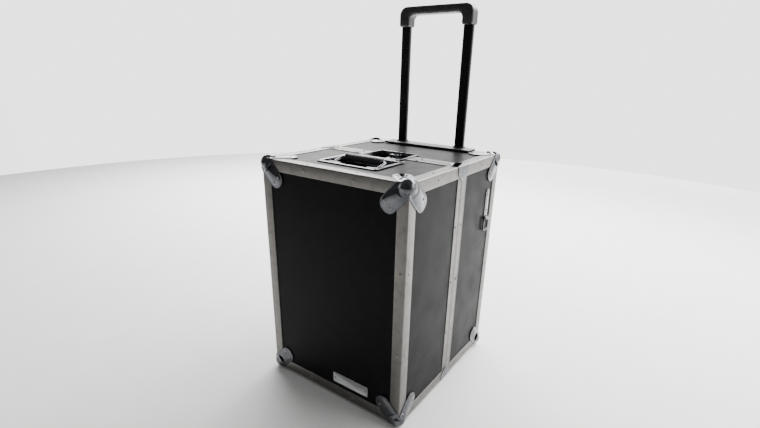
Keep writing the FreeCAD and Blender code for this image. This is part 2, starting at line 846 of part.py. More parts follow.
def make_latch(word, sign):
    """Latch in the top (+1) or the bottom (-1): depths are counted inwards from that face."""
    face = top if sign > 0 else bottom
    half_width_dish = size.latch_dish_width / 2
    recess = size.latch_dish_recess
    floor = recess - size.dish_wall
    spindle_y = seam + size.latch_spindle_offset
    hook_top = size.latch_hook_depth
    hook_bottom = hook_top + size.latch_hook_thickness

    def zs(near, far):
        return (face - far, face - near) if sign > 0 else (face + near, face + far)

    xs = (-half_width_dish, half_width_dish)
    dish = pan(f"latch_dish_{word}", xs, (body_seam, seam + latch_half_depth), face, sign,
               recess, size.latch_dish_rim, "low")
    node(f"latch_dish_{word}", dish)

    keeper_pan = pan(f"keeper_pan_{word}", xs, (seam - latch_half_depth, cover_seam), face,
                     sign, recess, size.latch_dish_rim, "high")
    keeper_half = size.latch_keeper_width / 2
    keeper_back = seam - size.latch_keeper_from_seam
    keeper_block = block(f"keeper_block_{word}", (-keeper_half, keeper_half),
                         (keeper_back - size.latch_keeper_thickness, keeper_back),
                         zs(hook_bottom + size.latch_hook_clearance, recess))
    node(f"latch_keeper_{word}", fuse(f"latch_keeper_{word}", keeper_pan, keeper_block))

    # The spindle has a cam foot, a neck through the hook's slot and a fork for the key.
    ear_inner = size.latch_fork_inner
    ear_outer = size.latch_fork_outer
    fork_half = size.latch_fork_half
    fork_top = size.latch_fork_top
    foot_top = hook_bottom + size.latch_hook_clearance
    foot = rod("cam_foot", "z", (0, spindle_y), size.latch_cam_radius,
               zs(foot_top, floor - size.latch_barrel_room))
    neck = rod("cam_neck", "z", (0, spindle_y), size.latch_spindle_radius,
               zs(fork_top, foot_top + size.latch_hook_clearance))
    fork_base = block("fork_base", (-ear_outer, ear_outer),
                      (spindle_y - fork_half, spindle_y + fork_half),
                      zs(fork_top, hook_top - size.latch_hook_clearance))
    ears = [
        block("fork_ear", mirrored(side, ear_inner, ear_outer),
              (spindle_y - size.latch_ear_half, spindle_y + size.latch_ear_half),
              zs(size.latch_ear_top, fork_top + size.latch_hook_clearance))
        for side in (-1, 1)
    ]
    hinge_z = face - sign * size.latch_hinge_depth
    fork_hole = rod("fork_hole", "x", (spindle_y, hinge_z),
                    size.latch_pin_radius + size.pivot_clearance, (-ear_outer - 1, ear_outer + 1))
    node(f"latch_spindle_{word}",
         cut(f"latch_spindle_{word}", fuse("spindle_blank", foot, neck, fork_base, *ears), fork_hole))

    barrel_half = ear_inner - size.latch_barrel_room
    barrel = rod("key_barrel", "x", (spindle_y, hinge_z), size.latch_barrel_radius,
                 (-barrel_half, barrel_half))
    pins = rod("key_pins", "x", (spindle_y, hinge_z), size.latch_pin_radius, (-ear_outer, ear_outer))
    near = size.latch_hinge_depth - size.latch_key_thickness / 2
    far = size.latch_hinge_depth + size.latch_key_thickness / 2
    wing_start = spindle_y + size.latch_wing_start
    neck_plate = block("key_neck", (-barrel_half, barrel_half), (spindle_y, wing_start + 1),
                       zs(near, far))
    wing_half = size.latch_key_width / 2
    tip_radius = size.latch_key_round
    wing = block("key_wing", (-wing_half, wing_half),
                 (wing_start, spindle_y + size.latch_key_length - tip_radius), zs(near, far))
    wing_tip = block("key_wing_tip", (-wing_half + tip_radius, wing_half - tip_radius),
                     (wing_start, spindle_y + size.latch_key_length), zs(near, far))
    rounds = [
        rod("key_round", "z", (side * (wing_half - tip_radius),
                               spindle_y + size.latch_key_length - tip_radius),
            tip_radius, zs(near, far))
        for side in (-1, 1)
    ]
    node(f"latch_key_{word}",
         fuse(f"latch_key_{word}", barrel, pins, neck_plate, wing, wing_tip, *rounds))

    # The slot is longer than the travel, so that the neck never meets its ends.
    hook_half = size.latch_hook_width / 2
    slot_half = size.latch_spindle_radius + size.latch_slot_room
    slot_front = spindle_y - slot_half - size.latch_slot_overrun
    slot_back = spindle_y + slot_half + size.latch_hook_travel + size.latch_slot_overrun
    plate = block("hook_plate", (-hook_half, hook_half),
                  (seam - size.latch_hook_reach, slot_back + size.latch_hook_tail),
                  zs(hook_top, hook_bottom))
    slot = block("hook_slot", (-slot_half, slot_half), (slot_front, slot_back),
                 zs(hook_top - 1, hook_bottom + 1))
    node(f"latch_hook_{word}", cut(f"latch_hook_{word}", plate, slot))


# ------------------------------------------------------------------ rack rails


def rack_rail(word, sign):
    """An angle rail across the case: the drilled face looks forwards, the leg lies on the wall."""
    body = doc.addObject("PartDesign::Body", f"rack_rail_{word}")
    length = rail_length
    face_y = seam + size.rail_from_seam
    middle_z = (top + bottom) / 2
    inner = middle_z + sign * size.rack_opening / 2
    if sign > 0:
        outer = top - lining
        step = outer - size.rail_thickness
    else:
        outer = bottom + lining
        step = outer + size.rail_thickness
    points = [
        (face_y, inner),
        (face_y, outer),
        (face_y + size.rail_leg, outer),
        (face_y + size.rail_leg, step),
        (face_y + size.rail_thickness, step),
        (face_y + size.rail_thickness, inner),
    ]
    section = outline(body, "YZ_Plane", points, -(length / 2))
    pad = body.newObject("PartDesign::Pad", "rail")
    pad.Profile = section
    bind(pad, "Length", length)
    doc.recompute()

    # Three holes in each rack unit, repeated for every unit.
    hole_z = middle_z + sign * size.rack_hole_spacing / 2
    for number in range(3):
        sketch = body.newObject("Sketcher::SketchObject", "hole_sketch")
        sketch.AttachmentSupport = (plane_of(body, "XZ_Plane"), [""])
        sketch.MapMode = "FlatFace"
        bind(sketch, ".AttachmentOffset.Base.z", -(face_y + size.rail_thickness))
        first = -(length / 2) + size.rack_first_hole + number * size.rack_hole_step
        centre = Vector(evaluate(first), evaluate(hole_z), 0)
        sketch.addGeometry(Part.Circle(centre, Vector(0, 0, 1), evaluate(size.rack_hole_radius)))
        radius = sketch.addConstraint(
            Sketcher.Constraint("Radius", 0, evaluate(size.rack_hole_radius)))
        bind(sketch, f"Constraints[{radius}]", size.rack_hole_radius)
        for kind, value in (("DistanceX", first), ("DistanceY", hole_z)):
            index = sketch.addConstraint(Sketcher.Constraint(kind, -1, 1, 0, 3, evaluate(value)))
            bind(sketch, f"Constraints[{index}]", value)
        pocket = body.newObject("PartDesign::Pocket", "rail_hole")
        pocket.Profile = sketch
        pocket.Type = 0
        pocket.Reversed = True
        bind(pocket, "Length", size.rail_thickness)
        doc.recompute()
        pattern = body.newObject("PartDesign::LinearPattern", "rail_holes")
        pattern.Originals = [pocket]
        pattern.Direction = (sketch, ["H_Axis"])
        bind(pattern, "Occurrences", size.rack_units)
        bind(pattern, "Length", length - size.rack_unit_height)
        body.Tip = pattern
        doc.recompute()
    node(f"rack_rail_{word}", body)


# ------------------------------------------------------------------ trolley handle


def tube(name, x, y, width, depth, thickness, zs):
    half_w = width / 2
    half_d = depth / 2
    outer = block(f"{name}_outer", (x - half_w, x + half_w), (y - half_d, y + half_d), zs)
    bore = block(f"{name}_bore", (x - half_w + thickness, x + half_w - thickness),
                 (y - half_d + thickness, y + half_d - thickness), (zs[0] - 1, zs[1] + 1))
    return cut(name, outer, bore)


def make_trolley():
    for side, word in ((-1, "left"), (1, "right")):
        x = side * size.pole_spacing / 2
        name = f"trolley_guide_{word}"
        node(name, tube(name, x, pole_y, guide_width, guide_depth, size.guide_wall,
                        (guide_bottom, top)))
        name = f"trolley_tube_{word}"
        node(name, tube(name, x, pole_y, size.pole_width, size.pole_depth, size.pole_wall,
                        (pole_bottom, pole_top)))

    # Bezel: a moulded cap over the rear top edge, with a skirt down the back.
    half = size.bezel_half_width
    cap = block("bezel_cap", (-half, half), (back - size.bezel_depth, back + 3),
                (top, top + size.bezel_thickness))
    skirt = block("bezel_skirt", (-half, half), (back, back + 3),
                  (top - size.bezel_skirt, top + size.bezel_thickness))
    holes = []
    for side in (-1, 1):
        x = side * size.pole_spacing / 2
        half_w = size.pole_width / 2 + size.guide_clearance
        half_d = size.pole_depth / 2 + size.guide_clearance
        holes.append(block("bezel_hole", (x - half_w, x + half_w), (pole_y - half_d, pole_y + half_d),
                           (top - 1, top + size.bezel_thickness + 1)))
    node("trolley_bezel", cut("trolley_bezel", fuse("bezel_blank", cap, skirt), *holes))

    reach = size.pole_spacing / 2 + guide_width / 2 + 4
    inner_face = pole_y - guide_depth / 2
    node("trolley_foot_bracket",
         block("trolley_foot_bracket", (-reach, reach), (inner_face - 2, inner_face),
               (guide_bottom, guide_bottom + size.foot_bracket_height)))

    # Lock blocks plug the lower ends of the tubes and carry the lock pins.
    blocks = []
    pin_z = pole_bottom - size.lock_block_height / 2
    pin_tip = guide_width / 2 - size.guide_wall - 0.2
    for side, word in ((-1, "left"), (1, "right")):
        x = side * size.pole_spacing / 2
        half_w = guide_width / 2 - size.guide_wall - size.guide_clearance
        half_d = guide_depth / 2 - size.guide_wall - size.guide_clearance
        solid = block("lock_block", (x - half_w, x + half_w), (pole_y - half_d, pole_y + half_d),
                      (pole_bottom - size.lock_block_height, pole_bottom))
        outward = side
        hole_span = mirrored(outward, size.pole_spacing / 2 - 2.5, size.pole_spacing / 2 + 20)
        hole = rod("lock_hole", "x", (pole_y, pin_z), size.lock_pin_radius + 0.1, hole_span)
        blocks.append(cut("lock_block", solid, hole))
        pin_start = size.pole_spacing / 2 + 1
        span = mirrored(outward, pin_start, size.pole_spacing / 2 + pin_tip)
        node(f"lock_pin_{word}",
             rod(f"lock_pin_{word}", "x", (pole_y, pin_z), size.lock_pin_radius, span))
    node("trolley_lock_blocks", group("trolley_lock_blocks", blocks))


def make_trolley_grip():
    """The grip's front view is an arch with rounded shoulders; the release button sinks into it."""
    body = doc.addObject("PartDesign::Body", "grip_arch")
    grip_top = top + size.grip_above_case
    leg_bottom = grip_top - size.grip_leg_height
    arch = grip_top - size.grip_thickness
    outer = size.grip_half_width
    inner = outer - size.grip_leg_width
    points = [
        (-outer, leg_bottom), (-outer, grip_top), (outer, grip_top), (outer, leg_bottom),
        (inner, leg_bottom), (inner, arch), (-inner, arch), (-inner, leg_bottom),
    ]
    section = outline(body, "XZ_Plane", points, -(pole_y + size.grip_depth / 2))
    pad = body.newObject("PartDesign::Pad", "arch")
    pad.Profile = section
    bind(pad, "Length", size.grip_depth)
    doc.recompute()

    shoulders = []
    for number, edge in enumerate(pad.Shape.Edges, start=1):
        middle = edge.CenterOfMass
        upright = abs(edge.tangentAt(edge.FirstParameter).y) > 0.99
        if upright and middle.z > evaluate(arch) - 0.1:
            shoulders.append(f"Edge{number}")
    rounding = body.newObject("PartDesign::Fillet", "shoulders")
    rounding.Base = (pad, shoulders)
    bind(rounding, "Radius", size.grip_corner_radius)
    body.Tip = rounding
    doc.recompute()

    half_button = size.button_length / 2 + size.guide_clearance
    half_wide = size.button_width / 2 + size.guide_clearance
    pocket = block("button_pocket", (-half_button, half_button),
                   (pole_y - half_wide, pole_y + half_wide),
                   (grip_top - size.button_height - size.button_travel - 1, grip_top + 1))
    sockets = []
    for side in (-1, 1):
        x = side * size.pole_spacing / 2
        sockets.append(block("tube_socket", (x - size.pole_width / 2, x + size.pole_width / 2),
                             (pole_y - size.pole_depth / 2, pole_y + size.pole_depth / 2),
                             (leg_bottom - 1, leg_bottom + size.pole_socket)))
    node("trolley_grip", cut("trolley_grip", body, pocket, *sockets))

    half_button = size.button_length / 2
    node("release_button",
         block("release_button", (-half_button, half_button),
               (pole_y - size.button_width / 2, pole_y + size.button_width / 2),
               (grip_top - size.button_height, grip_top)))


# ------------------------------------------------------------------ wheels


def revolved(name, points, x):
    """A ring turned about the X direction: points are (along x, radius)."""
    body = doc.addObject("PartDesign::Body", name)
    section = outline(body, "XY_Plane", points)
    turning = body.newObject("PartDesign::Revolution", "turning")
    turning.Profile = section
    turning.ReferenceAxis = (section, ["H_Axis"])
    turning.Angle = 360
    put(body, x, axle_y, axle_z)
    return body


def make_wheels():
    half = size.wheel_width / 2
    cavity = half + size.wheel_gap
    outer = cavity + size.housing_wall
    room = size.wheel_radius + size.wheel_gap
    axles = []
    for side, word in ((-1, "left"), (1, "right")):
        x = side * size.wheel_centre
        shoulder = half - 4
        tyre = [(-half, size.hub_radius), (-half, size.wheel_radius - 3), (-shoulder, size.wheel_radius),
                (shoulder, size.wheel_radius), (half, size.wheel_radius - 3), (half, size.hub_radius)]
        node(f"wheel_tyre_{word}", revolved(f"wheel_tyre_{word}", tyre, x))
        bore = size.axle_radius + size.axle_clearance
        web = half - 4
        boss = size.axle_radius + 5
        rim = size.hub_radius - 4
        end = half + size.wheel_gap / 2
        hub = [(-end, bore), (-end, boss), (-web, boss), (-web, rim), (-half, rim),
               (-half, size.hub_radius), (half, size.hub_radius), (half, rim), (web, rim),
               (web, boss), (end, boss), (end, bore)]
        node(f"wheel_hub_{word}", revolved(f"wheel_hub_{word}", hub, x))
        axle_span = (x - outer, x + outer)
        axles.append(rod("wheel_axle", "x", (axle_y, axle_z), size.axle_radius, axle_span))

        xs = (x - outer, x + outer)
        skin = size.housing_skin
        shell_block = block("housing_block", xs, (axle_y - room - skin, back),
                            (bottom, axle_z + room + skin))
        lip = size.housing_flange
        flange = block("housing_flange", (x - outer - lip, x + outer + lip), (back, back + 2),
                       (bottom, axle_z + room + skin + lip))
        inside_xs = (x - cavity, x + cavity)
        well = rod("housing_well", "x", (axle_y, axle_z), room, inside_xs)
        rear_opening = block("housing_rear", inside_xs, (axle_y, back + 5), (bottom - 5, axle_z + room))
        floor_opening = block("housing_floor", inside_xs, (axle_y - room, axle_y + 1), (bottom - 5, axle_z))
        hole = rod("housing_hole", "x", (axle_y, axle_z), size.axle_radius, (x - outer - 1, x + outer + 1))
        node(f"wheel_housing_{word}",
             cut(f"wheel_housing_{word}", fuse("housing_blank", shell_block, flange),
                 well, rear_opening, floor_opening, hole))
    node("wheel_axles", group("wheel_axles", axles))


# ------------------------------------------------------------------ name plate, strap and ring


def make_name_plate():
    xs = (size.plate_centre_x - size.plate_length / 2, size.plate_centre_x + size.plate_length / 2)
    zs = (bottom + size.plate_centre_z - size.plate_height / 2,
          bottom + size.plate_centre_z + size.plate_height / 2)
    surface = front + wall
    node("name_plate", block("name_plate", xs, (surface - size.plate_thickness, surface), zs))


def make_strap_and_ring():
    surface = half_width - wall
    y = front + size.strap_from_front
    hinge_z = bottom + size.strap_bottom
    hinge_x = surface + size.ring_eye_radius
    half = size.strap_width / 2
    plate = block("strap_plate", (surface, surface + size.strap_thickness), (y - half, y + half),
                  (hinge_z, hinge_z + size.strap_length))
    eye = rod("strap_eye", "y", (hinge_x, hinge_z), size.ring_eye_radius, (y - half, y + half))
    bore = rod("strap_bore", "y", (hinge_x, hinge_z), size.ring_wire_radius + size.pivot_clearance,
               (y - half - 1, y + half + 1))
    node("side_strap", cut("side_strap", fuse("strap_blank", plate, eye), bore))

    wire = size.ring_wire_radius
    reach = size.ring_width / 2 - wire
    low = hinge_z - size.ring_drop + wire
    bars = [
        rod("ring_top", "y", (hinge_x, hinge_z), wire, (y - reach, y + reach)),
        rod("ring_bottom", "y", (hinge_x, low), wire, (y - reach, y + reach)),
    ]
    for side in (-1, 1):
        bars.append(rod("ring_side", "z", (hinge_x, y + side * reach), wire, (low, hinge_z)))
        for z in (low, hinge_z):
            bend = doc.addObject("Part::Sphere", "ring_bend")
            bind(bend, "Radius", wire)
            put(bend, hinge_x, y + side * reach, z)
            bars.append(bend)
    node("side_ring", fuse("side_ring", *bars))


# ------------------------------------------------------------------ build, test and write

make_panels()
make_edges()
make_seam()
make_braces()
make_corners()
make_rivets()
make_carry_handle()
make_latch("top", 1)
make_latch("bottom", -1)
rack_rail("upper", 1)
rack_rail("lower", -1)
make_trolley()
make_trolley_grip()
make_wheels()
make_name_plate()
make_strap_and_ring()

doc.recompute()
for thing in doc.Objects:
    for state in thing.State:
        if state in ("Invalid", "Error"):
            raise RuntimeError(f"{thing.Name} ({thing.Label}) is {state}")
for thing in nodes:
    if thing.Shape.isNull() or not thing.Shape.isValid():
        raise RuntimeError(f"{thing.Label} has no valid shape")

os.makedirs("parts", exist_ok=True)
for thing in nodes:
    thing.Shape.exportStep(f"parts/{thing.Label}.step")
print(len(nodes), "nodes written")
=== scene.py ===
from math import cos, pi, radians, sin, sqrt

import bmesh
import bpy
from mathutils import Matrix, Vector


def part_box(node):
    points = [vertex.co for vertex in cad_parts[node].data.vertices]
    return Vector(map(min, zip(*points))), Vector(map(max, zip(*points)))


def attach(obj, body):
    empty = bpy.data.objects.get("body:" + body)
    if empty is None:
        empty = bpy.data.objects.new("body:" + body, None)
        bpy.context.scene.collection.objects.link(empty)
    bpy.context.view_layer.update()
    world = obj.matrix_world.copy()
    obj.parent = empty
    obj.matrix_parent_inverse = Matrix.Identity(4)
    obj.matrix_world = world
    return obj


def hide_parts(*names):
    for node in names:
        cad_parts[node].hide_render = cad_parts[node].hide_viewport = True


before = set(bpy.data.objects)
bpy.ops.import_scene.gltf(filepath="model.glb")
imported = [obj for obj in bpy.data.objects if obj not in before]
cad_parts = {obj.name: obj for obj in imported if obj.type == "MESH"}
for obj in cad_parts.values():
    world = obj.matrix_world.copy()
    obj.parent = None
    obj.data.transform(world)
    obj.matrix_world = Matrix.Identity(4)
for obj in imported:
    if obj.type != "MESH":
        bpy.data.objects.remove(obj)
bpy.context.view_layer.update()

MM = 0.001

# Outer planes of the closed case, over its aluminium edges
front_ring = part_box("cover_front_edges")
rear_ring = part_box("body_rear_edges")
HALF_WIDTH = front_ring[1].x
FRONT = front_ring[0].y
BACK = rear_ring[1].y
BOTTOM = front_ring[0].z
TOP = front_ring[1].z
CASE_HEIGHT = TOP - BOTTOM
CASE_MIDDLE = Vector((0, (FRONT + BACK) / 2, (BOTTOM + TOP) / 2))
EXTRUSION_WALL = 1.5 * MM
EDGE_FLANGE = 25 * MM
PANEL_SKIN = 0.9 * MM
VENEER = 1.4 * MM
CORNER_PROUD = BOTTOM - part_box("cover_ball_corners")[0].z

# Brightness of the studio round the case
FLOOR_RADIUS = 3.3
DARK_ROOM = 0.16
CEILING = 0.5
BACKDROP = 2.8

X, Y, Z = Vector((1, 0, 0)), Vector((0, 1, 0)), Vector((0, 0, 1))


# ---------------------------------------------------------------- camera, floor and light


def make_camera():
    data = bpy.data.cameras.new("camera")
    data.sensor_width = 36
    data.lens = 20.7
    data.shift_x = -0.0045
    data.shift_y = 0.0393
    camera = bpy.data.objects.new("camera", data)
    stand = Vector((1.0690, -1.1825, 1.3274)) * CASE_HEIGHT
    camera.location = Vector((0, FRONT, BOTTOM)) + stand
    camera.rotation_euler = (radians(68.764), radians(-1.341), radians(34.981))
    bpy.context.collection.objects.link(camera)
    bpy.context.scene.camera = camera


def make_area_light(name, place, target, size, watts, tint):
    data = bpy.data.lights.new(name, "AREA")
    data.shape = "RECTANGLE"
    data.size, data.size_y = size
    data.energy = watts
    data.color = tint
    data.spread = radians(95)
    light = bpy.data.objects.new(name, data)
    light.location = place
    light.rotation_euler = (Vector(target) - Vector(place)).to_track_quat("-Z", "Y").to_euler()
    bpy.context.collection.objects.link(light)


# ---------------------------------------------------------------- material tools


def linear(code):
    """A linear colour from an sRGB hex code."""
    channels = [int(code[i:i + 2], 16) / 255 for i in (1, 3, 5)]
    return [c / 12.92 if c <= 0.04045 else ((c + 0.055) / 1.055) ** 2.4 for c in channels] + [1]


def add(tree, kind, inputs=None, output=0, **settings):
    """Adds one node with its settings and links, and returns one of its outputs."""
    made = tree.nodes.new(kind)
    for name, value in settings.items():
        setattr(made, name, value)
    for name, value in (inputs or {}).items():
        if isinstance(value, bpy.types.NodeSocket):
            tree.links.new(value, made.inputs[name])
        else:
            made.inputs[name].default_value = value
    return made.outputs[output] if made.outputs else None


def blank_material(name):
    """An empty node material: returns it, its tree and the Object coordinates."""
    material = bpy.data.materials.new(name)
    material.use_nodes = True
    tree = material.node_tree
    tree.nodes.clear()
    place = add(tree, "ShaderNodeTexCoord", output="Object")
    return material, tree, place


def finish_material(material, sockets):
    """Lays the one shader over its patterns and constants."""
    tree = material.node_tree
    shader = add(tree, "ShaderNodeBsdfPrincipled", sockets)
    add(tree, "ShaderNodeOutputMaterial", {"Surface": shader})
    return material


def two_tone(tree, pattern, first, second):
    """A colour that runs from one hex code to another over the middle part of a pattern."""
    share = add(tree, "ShaderNodeMapRange", {
        "Value": pattern, "From Min": 0.3, "From Max": 0.7, "To Min": 0, "To Max": 1})
    return add(tree, "ShaderNodeMix", {
        0: share, 6: linear(first), 7: linear(second)}, output=2, data_type="RGBA")


def along(axis_stretch):
    """Mapping scales that draw a pattern out along each axis by the number given."""
    return [1 / stretch for stretch in axis_stretch]


# ---------------------------------------------------------------- materials


def edge_aluminium(name, stretch):
    """Satin anodised 6063 extrusion: die lines along the bar, a few dull scuffs, a soft sheen. Its base
    colour is painted darker than real anodised aluminium, as painted shade from the dark room it reflects.

    Real die lines are about 0.1 mm apart; they are drawn at 0.5 mm so that they show.
    """
    material, tree, place = blank_material(name)
    lines_place = add(tree, "ShaderNodeMapping", {"Vector": place, "Scale": along(stretch)})
    lines = add(tree, "ShaderNodeTexNoise", {"Vector": lines_place, "Scale": 1 / (0.5 * MM), "Detail": 4})
    scuffs = add(tree, "ShaderNodeTexNoise", {"Vector": place, "Scale": 1 / (14 * MM), "Detail": 5})
    fine = add(tree, "ShaderNodeTexNoise", {"Vector": place, "Scale": 1 / (1.6 * MM), "Detail": 3})
    # Painted shade: both tones sit well below real anodised aluminium so the bars read as dark as their
    # reflections; the scuffs mixed in below are real wear.
    tone = two_tone(tree, lines, "#767470", "#686663")
    dulled = add(tree, "ShaderNodeMapRange", {
        "Value": scuffs, "From Min": 0.52, "From Max": 0.75, "To Min": 0, "To Max": 0.5})
    tone = add(tree, "ShaderNodeMix", {
        0: dulled, 6: tone, 7: linear("#5A5855")}, output=2, data_type="RGBA")
    roughness = add(tree, "ShaderNodeMapRange", {
        "Value": scuffs, "From Min": 0.3, "From Max": 0.7, "To Min": 0.3, "To Max": 0.44})
    under = add(tree, "ShaderNodeBump", {"Height": lines, "Distance": 0.03 * MM, "Strength": 0.35})
    relief = add(tree, "ShaderNodeBump", {
        "Height": fine, "Distance": 0.02 * MM, "Strength": 0.3, "Normal": under})
    return finish_material(material, {
        "Base Color": tone, "Roughness": roughness, "Normal": relief, "Metallic": 1.0})


def chromed_steel():
    """Bright nickel-chrome plate on pressed steel: mirror with faint ripples and finger haze. Its base
    colour is painted much darker than real chrome, a painted dark reflection of the room round the case.
    """
    material, tree, place = blank_material("nickel_chrome_plate")
    haze = add(tree, "ShaderNodeTexNoise", {"Vector": place, "Scale": 1 / (16 * MM), "Detail": 3})
    ripple = add(tree, "ShaderNodeTexNoise", {"Vector": place, "Scale": 1 / (9 * MM), "Detail": 1})
    # Painted dark reflection: both tones sit far below real chrome so the plate reads dark; the finger haze
    # only moves the colour between them.
    tone = two_tone(tree, haze, "#66676A", "#4E4F53")
    roughness = add(tree, "ShaderNodeMapRange", {
        "Value": haze, "From Min": 0.3, "From Max": 0.7, "To Min": 0.05, "To Max": 0.13})
    relief = add(tree, "ShaderNodeBump", {"Height": ripple, "Distance": 0.04 * MM, "Strength": 0.12})
    return finish_material(material, {
        "Base Color": tone, "Roughness": roughness, "Normal": relief, "Metallic": 1.0})


def zinc_plate():
    """Bright zinc plate on steel: greyer and duller than chrome, with cloudy patches."""
    material, tree, place = blank_material("bright_zinc_plate")
    cloud = add(tree, "ShaderNodeTexNoise", {"Vector": place, "Scale": 1 / (5 * MM), "Detail": 5})
    tone = two_tone(tree, cloud, "#B4B6B8", "#969AA0")
    roughness = add(tree, "ShaderNodeMapRange", {
        "Value": cloud, "From Min": 0.3, "From Max": 0.7, "To Min": 0.25, "To Max": 0.42})
    relief = add(tree, "ShaderNodeBump", {"Height": cloud, "Distance": 0.04 * MM, "Strength": 0.3})
    return finish_material(material, {
        "Base Color": tone, "Roughness": roughness, "Normal": relief, "Metallic": 1.0})


def rivet_steel():
    """Plain steel rivet heads: turned-looking, slightly dull, dark in the mandrel hole."""
    material, tree, place = blank_material("plain_steel_rivet")
    grain = add(tree, "ShaderNodeTexNoise", {"Vector": place, "Scale": 1 / (0.8 * MM), "Detail": 3})
    tone = two_tone(tree, grain, "#8E8D8B", "#6A6967")
    roughness = add(tree, "ShaderNodeMapRange", {
        "Value": grain, "From Min": 0.3, "From Max": 0.7, "To Min": 0.28, "To Max": 0.45})
    return finish_material(material, {"Base Color": tone, "Roughness": roughness, "Metallic": 1.0})


def laminate_panel():
    """Black phenolic laminate on birch plywood: the outer 0.9 mm is the pebbled laminate, the
    rest shows the veneers at its edges and pale birch inside the case."""
    material, tree, place = blank_material("black_laminate_on_birch_ply")
    centred = add(tree, "ShaderNodeVectorMath", {0: place, 1: CASE_MIDDLE}, operation="SUBTRACT")
    size = add(tree, "ShaderNodeVectorMath", {0: centred}, operation="ABSOLUTE")
    outer = Vector((HALF_WIDTH, (BACK - FRONT) / 2, CASE_HEIGHT / 2)) - EXTRUSION_WALL * (X + Y + Z)
    depth = add(tree, "ShaderNodeVectorMath", {0: outer, 1: size}, operation="SUBTRACT")
    depth_x, depth_y, depth_z = add(tree, "ShaderNodeSeparateXYZ", {0: depth}).node.outputs
    nearest = add(tree, "ShaderNodeMath", {0: depth_x, 1: depth_y}, operation="MINIMUM")
    inward = add(tree, "ShaderNodeMath", {0: nearest, 1: depth_z}, operation="MINIMUM")
    inside = add(tree, "ShaderNodeMath", {0: inward, 1: PANEL_SKIN}, operation="GREATER_THAN")

    pebbles = add(tree, "ShaderNodeTexVoronoi", {"Vector": place, "Scale": 1 / (1.1 * MM)},
                  feature="SMOOTH_F1")
    dust = add(tree, "ShaderNodeTexNoise", {"Vector": place, "Scale": 1 / (45 * MM), "Detail": 6})
    wear = add(tree, "ShaderNodeTexNoise", {"Vector": place, "Scale": 1 / (7 * MM), "Detail": 5})
    black = two_tone(tree, dust, "#09090A", "#0F0F10")
    worn = add(tree, "ShaderNodeMapRange", {
        "Value": wear, "From Min": 0.6, "From Max": 0.8, "To Min": 0, "To Max": 0.3})
    black = add(tree, "ShaderNodeMix", {
        0: worn, 6: black, 7: linear("#202021")}, output=2, data_type="RGBA")

    # Birch veneers show as bands at the cut edges; the grain runs up the inner face.
    veneer = add(tree, "ShaderNodeMath", {0: inward, 1: 1 / VENEER}, operation="MULTIPLY")
    band = add(tree, "ShaderNodeMath", {0: veneer, 1: 2.0}, operation="MODULO")
    grain_place = add(tree, "ShaderNodeMapping", {"Vector": place, "Scale": along((1, 1, 30))})
    grain = add(tree, "ShaderNodeTexNoise", {"Vector": grain_place, "Scale": 1 / (2.0 * MM), "Detail": 5})
    birch = two_tone(tree, grain, "#CDB791", "#B89F78")
    glue_line = add(tree, "ShaderNodeMapRange", {
        "Value": band, "From Min": 0.9, "From Max": 1.1, "To Min": 0, "To Max": 0.45})
    birch = add(tree, "ShaderNodeMix", {
        0: glue_line, 6: birch, 7: linear("#8C6B45")}, output=2, data_type="RGBA")

    tone = add(tree, "ShaderNodeMix", {0: inside, 6: black, 7: birch}, output=2, data_type="RGBA")
    gloss = add(tree, "ShaderNodeMapRange", {
        "Value": dust, "From Min": 0.3, "From Max": 0.7, "To Min": 0.34, "To Max": 0.46})
    rough = add(tree, "ShaderNodeMix", {0: inside, 2: gloss, 3: 0.62})
    relief = add(tree, "ShaderNodeBump", {"Height": pebbles, "Distance": 0.05 * MM, "Strength": 0.22})
    return finish_material(material, {
        "Base Color": tone, "Roughness": rough, "Normal": relief, "IOR": 1.45,
        "Specular IOR Level": 0.07})


def moulded_rubber():
    """Black vinyl-rubber grip: matt, finely pitted, a little grey where hands have polished it."""
    material, tree, place = blank_material("moulded_rubber_grip")
    pits = add(tree, "ShaderNodeTexNoise", {"Vector": place, "Scale": 1 / (0.7 * MM), "Detail": 4})
    rubbed = add(tree, "ShaderNodeTexNoise", {"Vector": place, "Scale": 1 / (18 * MM), "Detail": 3})
    tone = two_tone(tree, rubbed, "#111113", "#1D1D20")
    roughness = add(tree, "ShaderNodeMapRange", {
        "Value": rubbed, "From Min": 0.3, "From Max": 0.7, "To Min": 0.42, "To Max": 0.6})
    relief = add(tree, "ShaderNodeBump", {"Height": pits, "Distance": 0.08 * MM, "Strength": 0.5})
    return finish_material(material, {
        "Base Color": tone, "Roughness": roughness, "Normal": relief, "IOR": 1.5})


def moulded_abs():
    """Black ABS with a spark-eroded texture: even, slightly grey, low gloss.

    The texture is drawn at 0.8 mm, coarser than the real 0.2 mm, so that it shows.
    """
    material, tree, place = blank_material("textured_black_abs")
    texture = add(tree, "ShaderNodeTexVoronoi", {"Vector": place, "Scale": 1 / (0.8 * MM)})
    cloud = add(tree, "ShaderNodeTexNoise", {"Vector": place, "Scale": 1 / (22 * MM), "Detail": 4})
    tone = two_tone(tree, cloud, "#121213", "#1C1C1E")
    roughness = add(tree, "ShaderNodeMapRange", {
        "Value": cloud, "From Min": 0.3, "From Max": 0.7, "To Min": 0.38, "To Max": 0.5})
    relief = add(tree, "ShaderNodeBump", {"Height": texture, "Distance": 0.06 * MM, "Strength": 0.3})
    return finish_material(material, {
        "Base Color": tone, "Roughness": roughness, "Normal": relief, "IOR": 1.54})


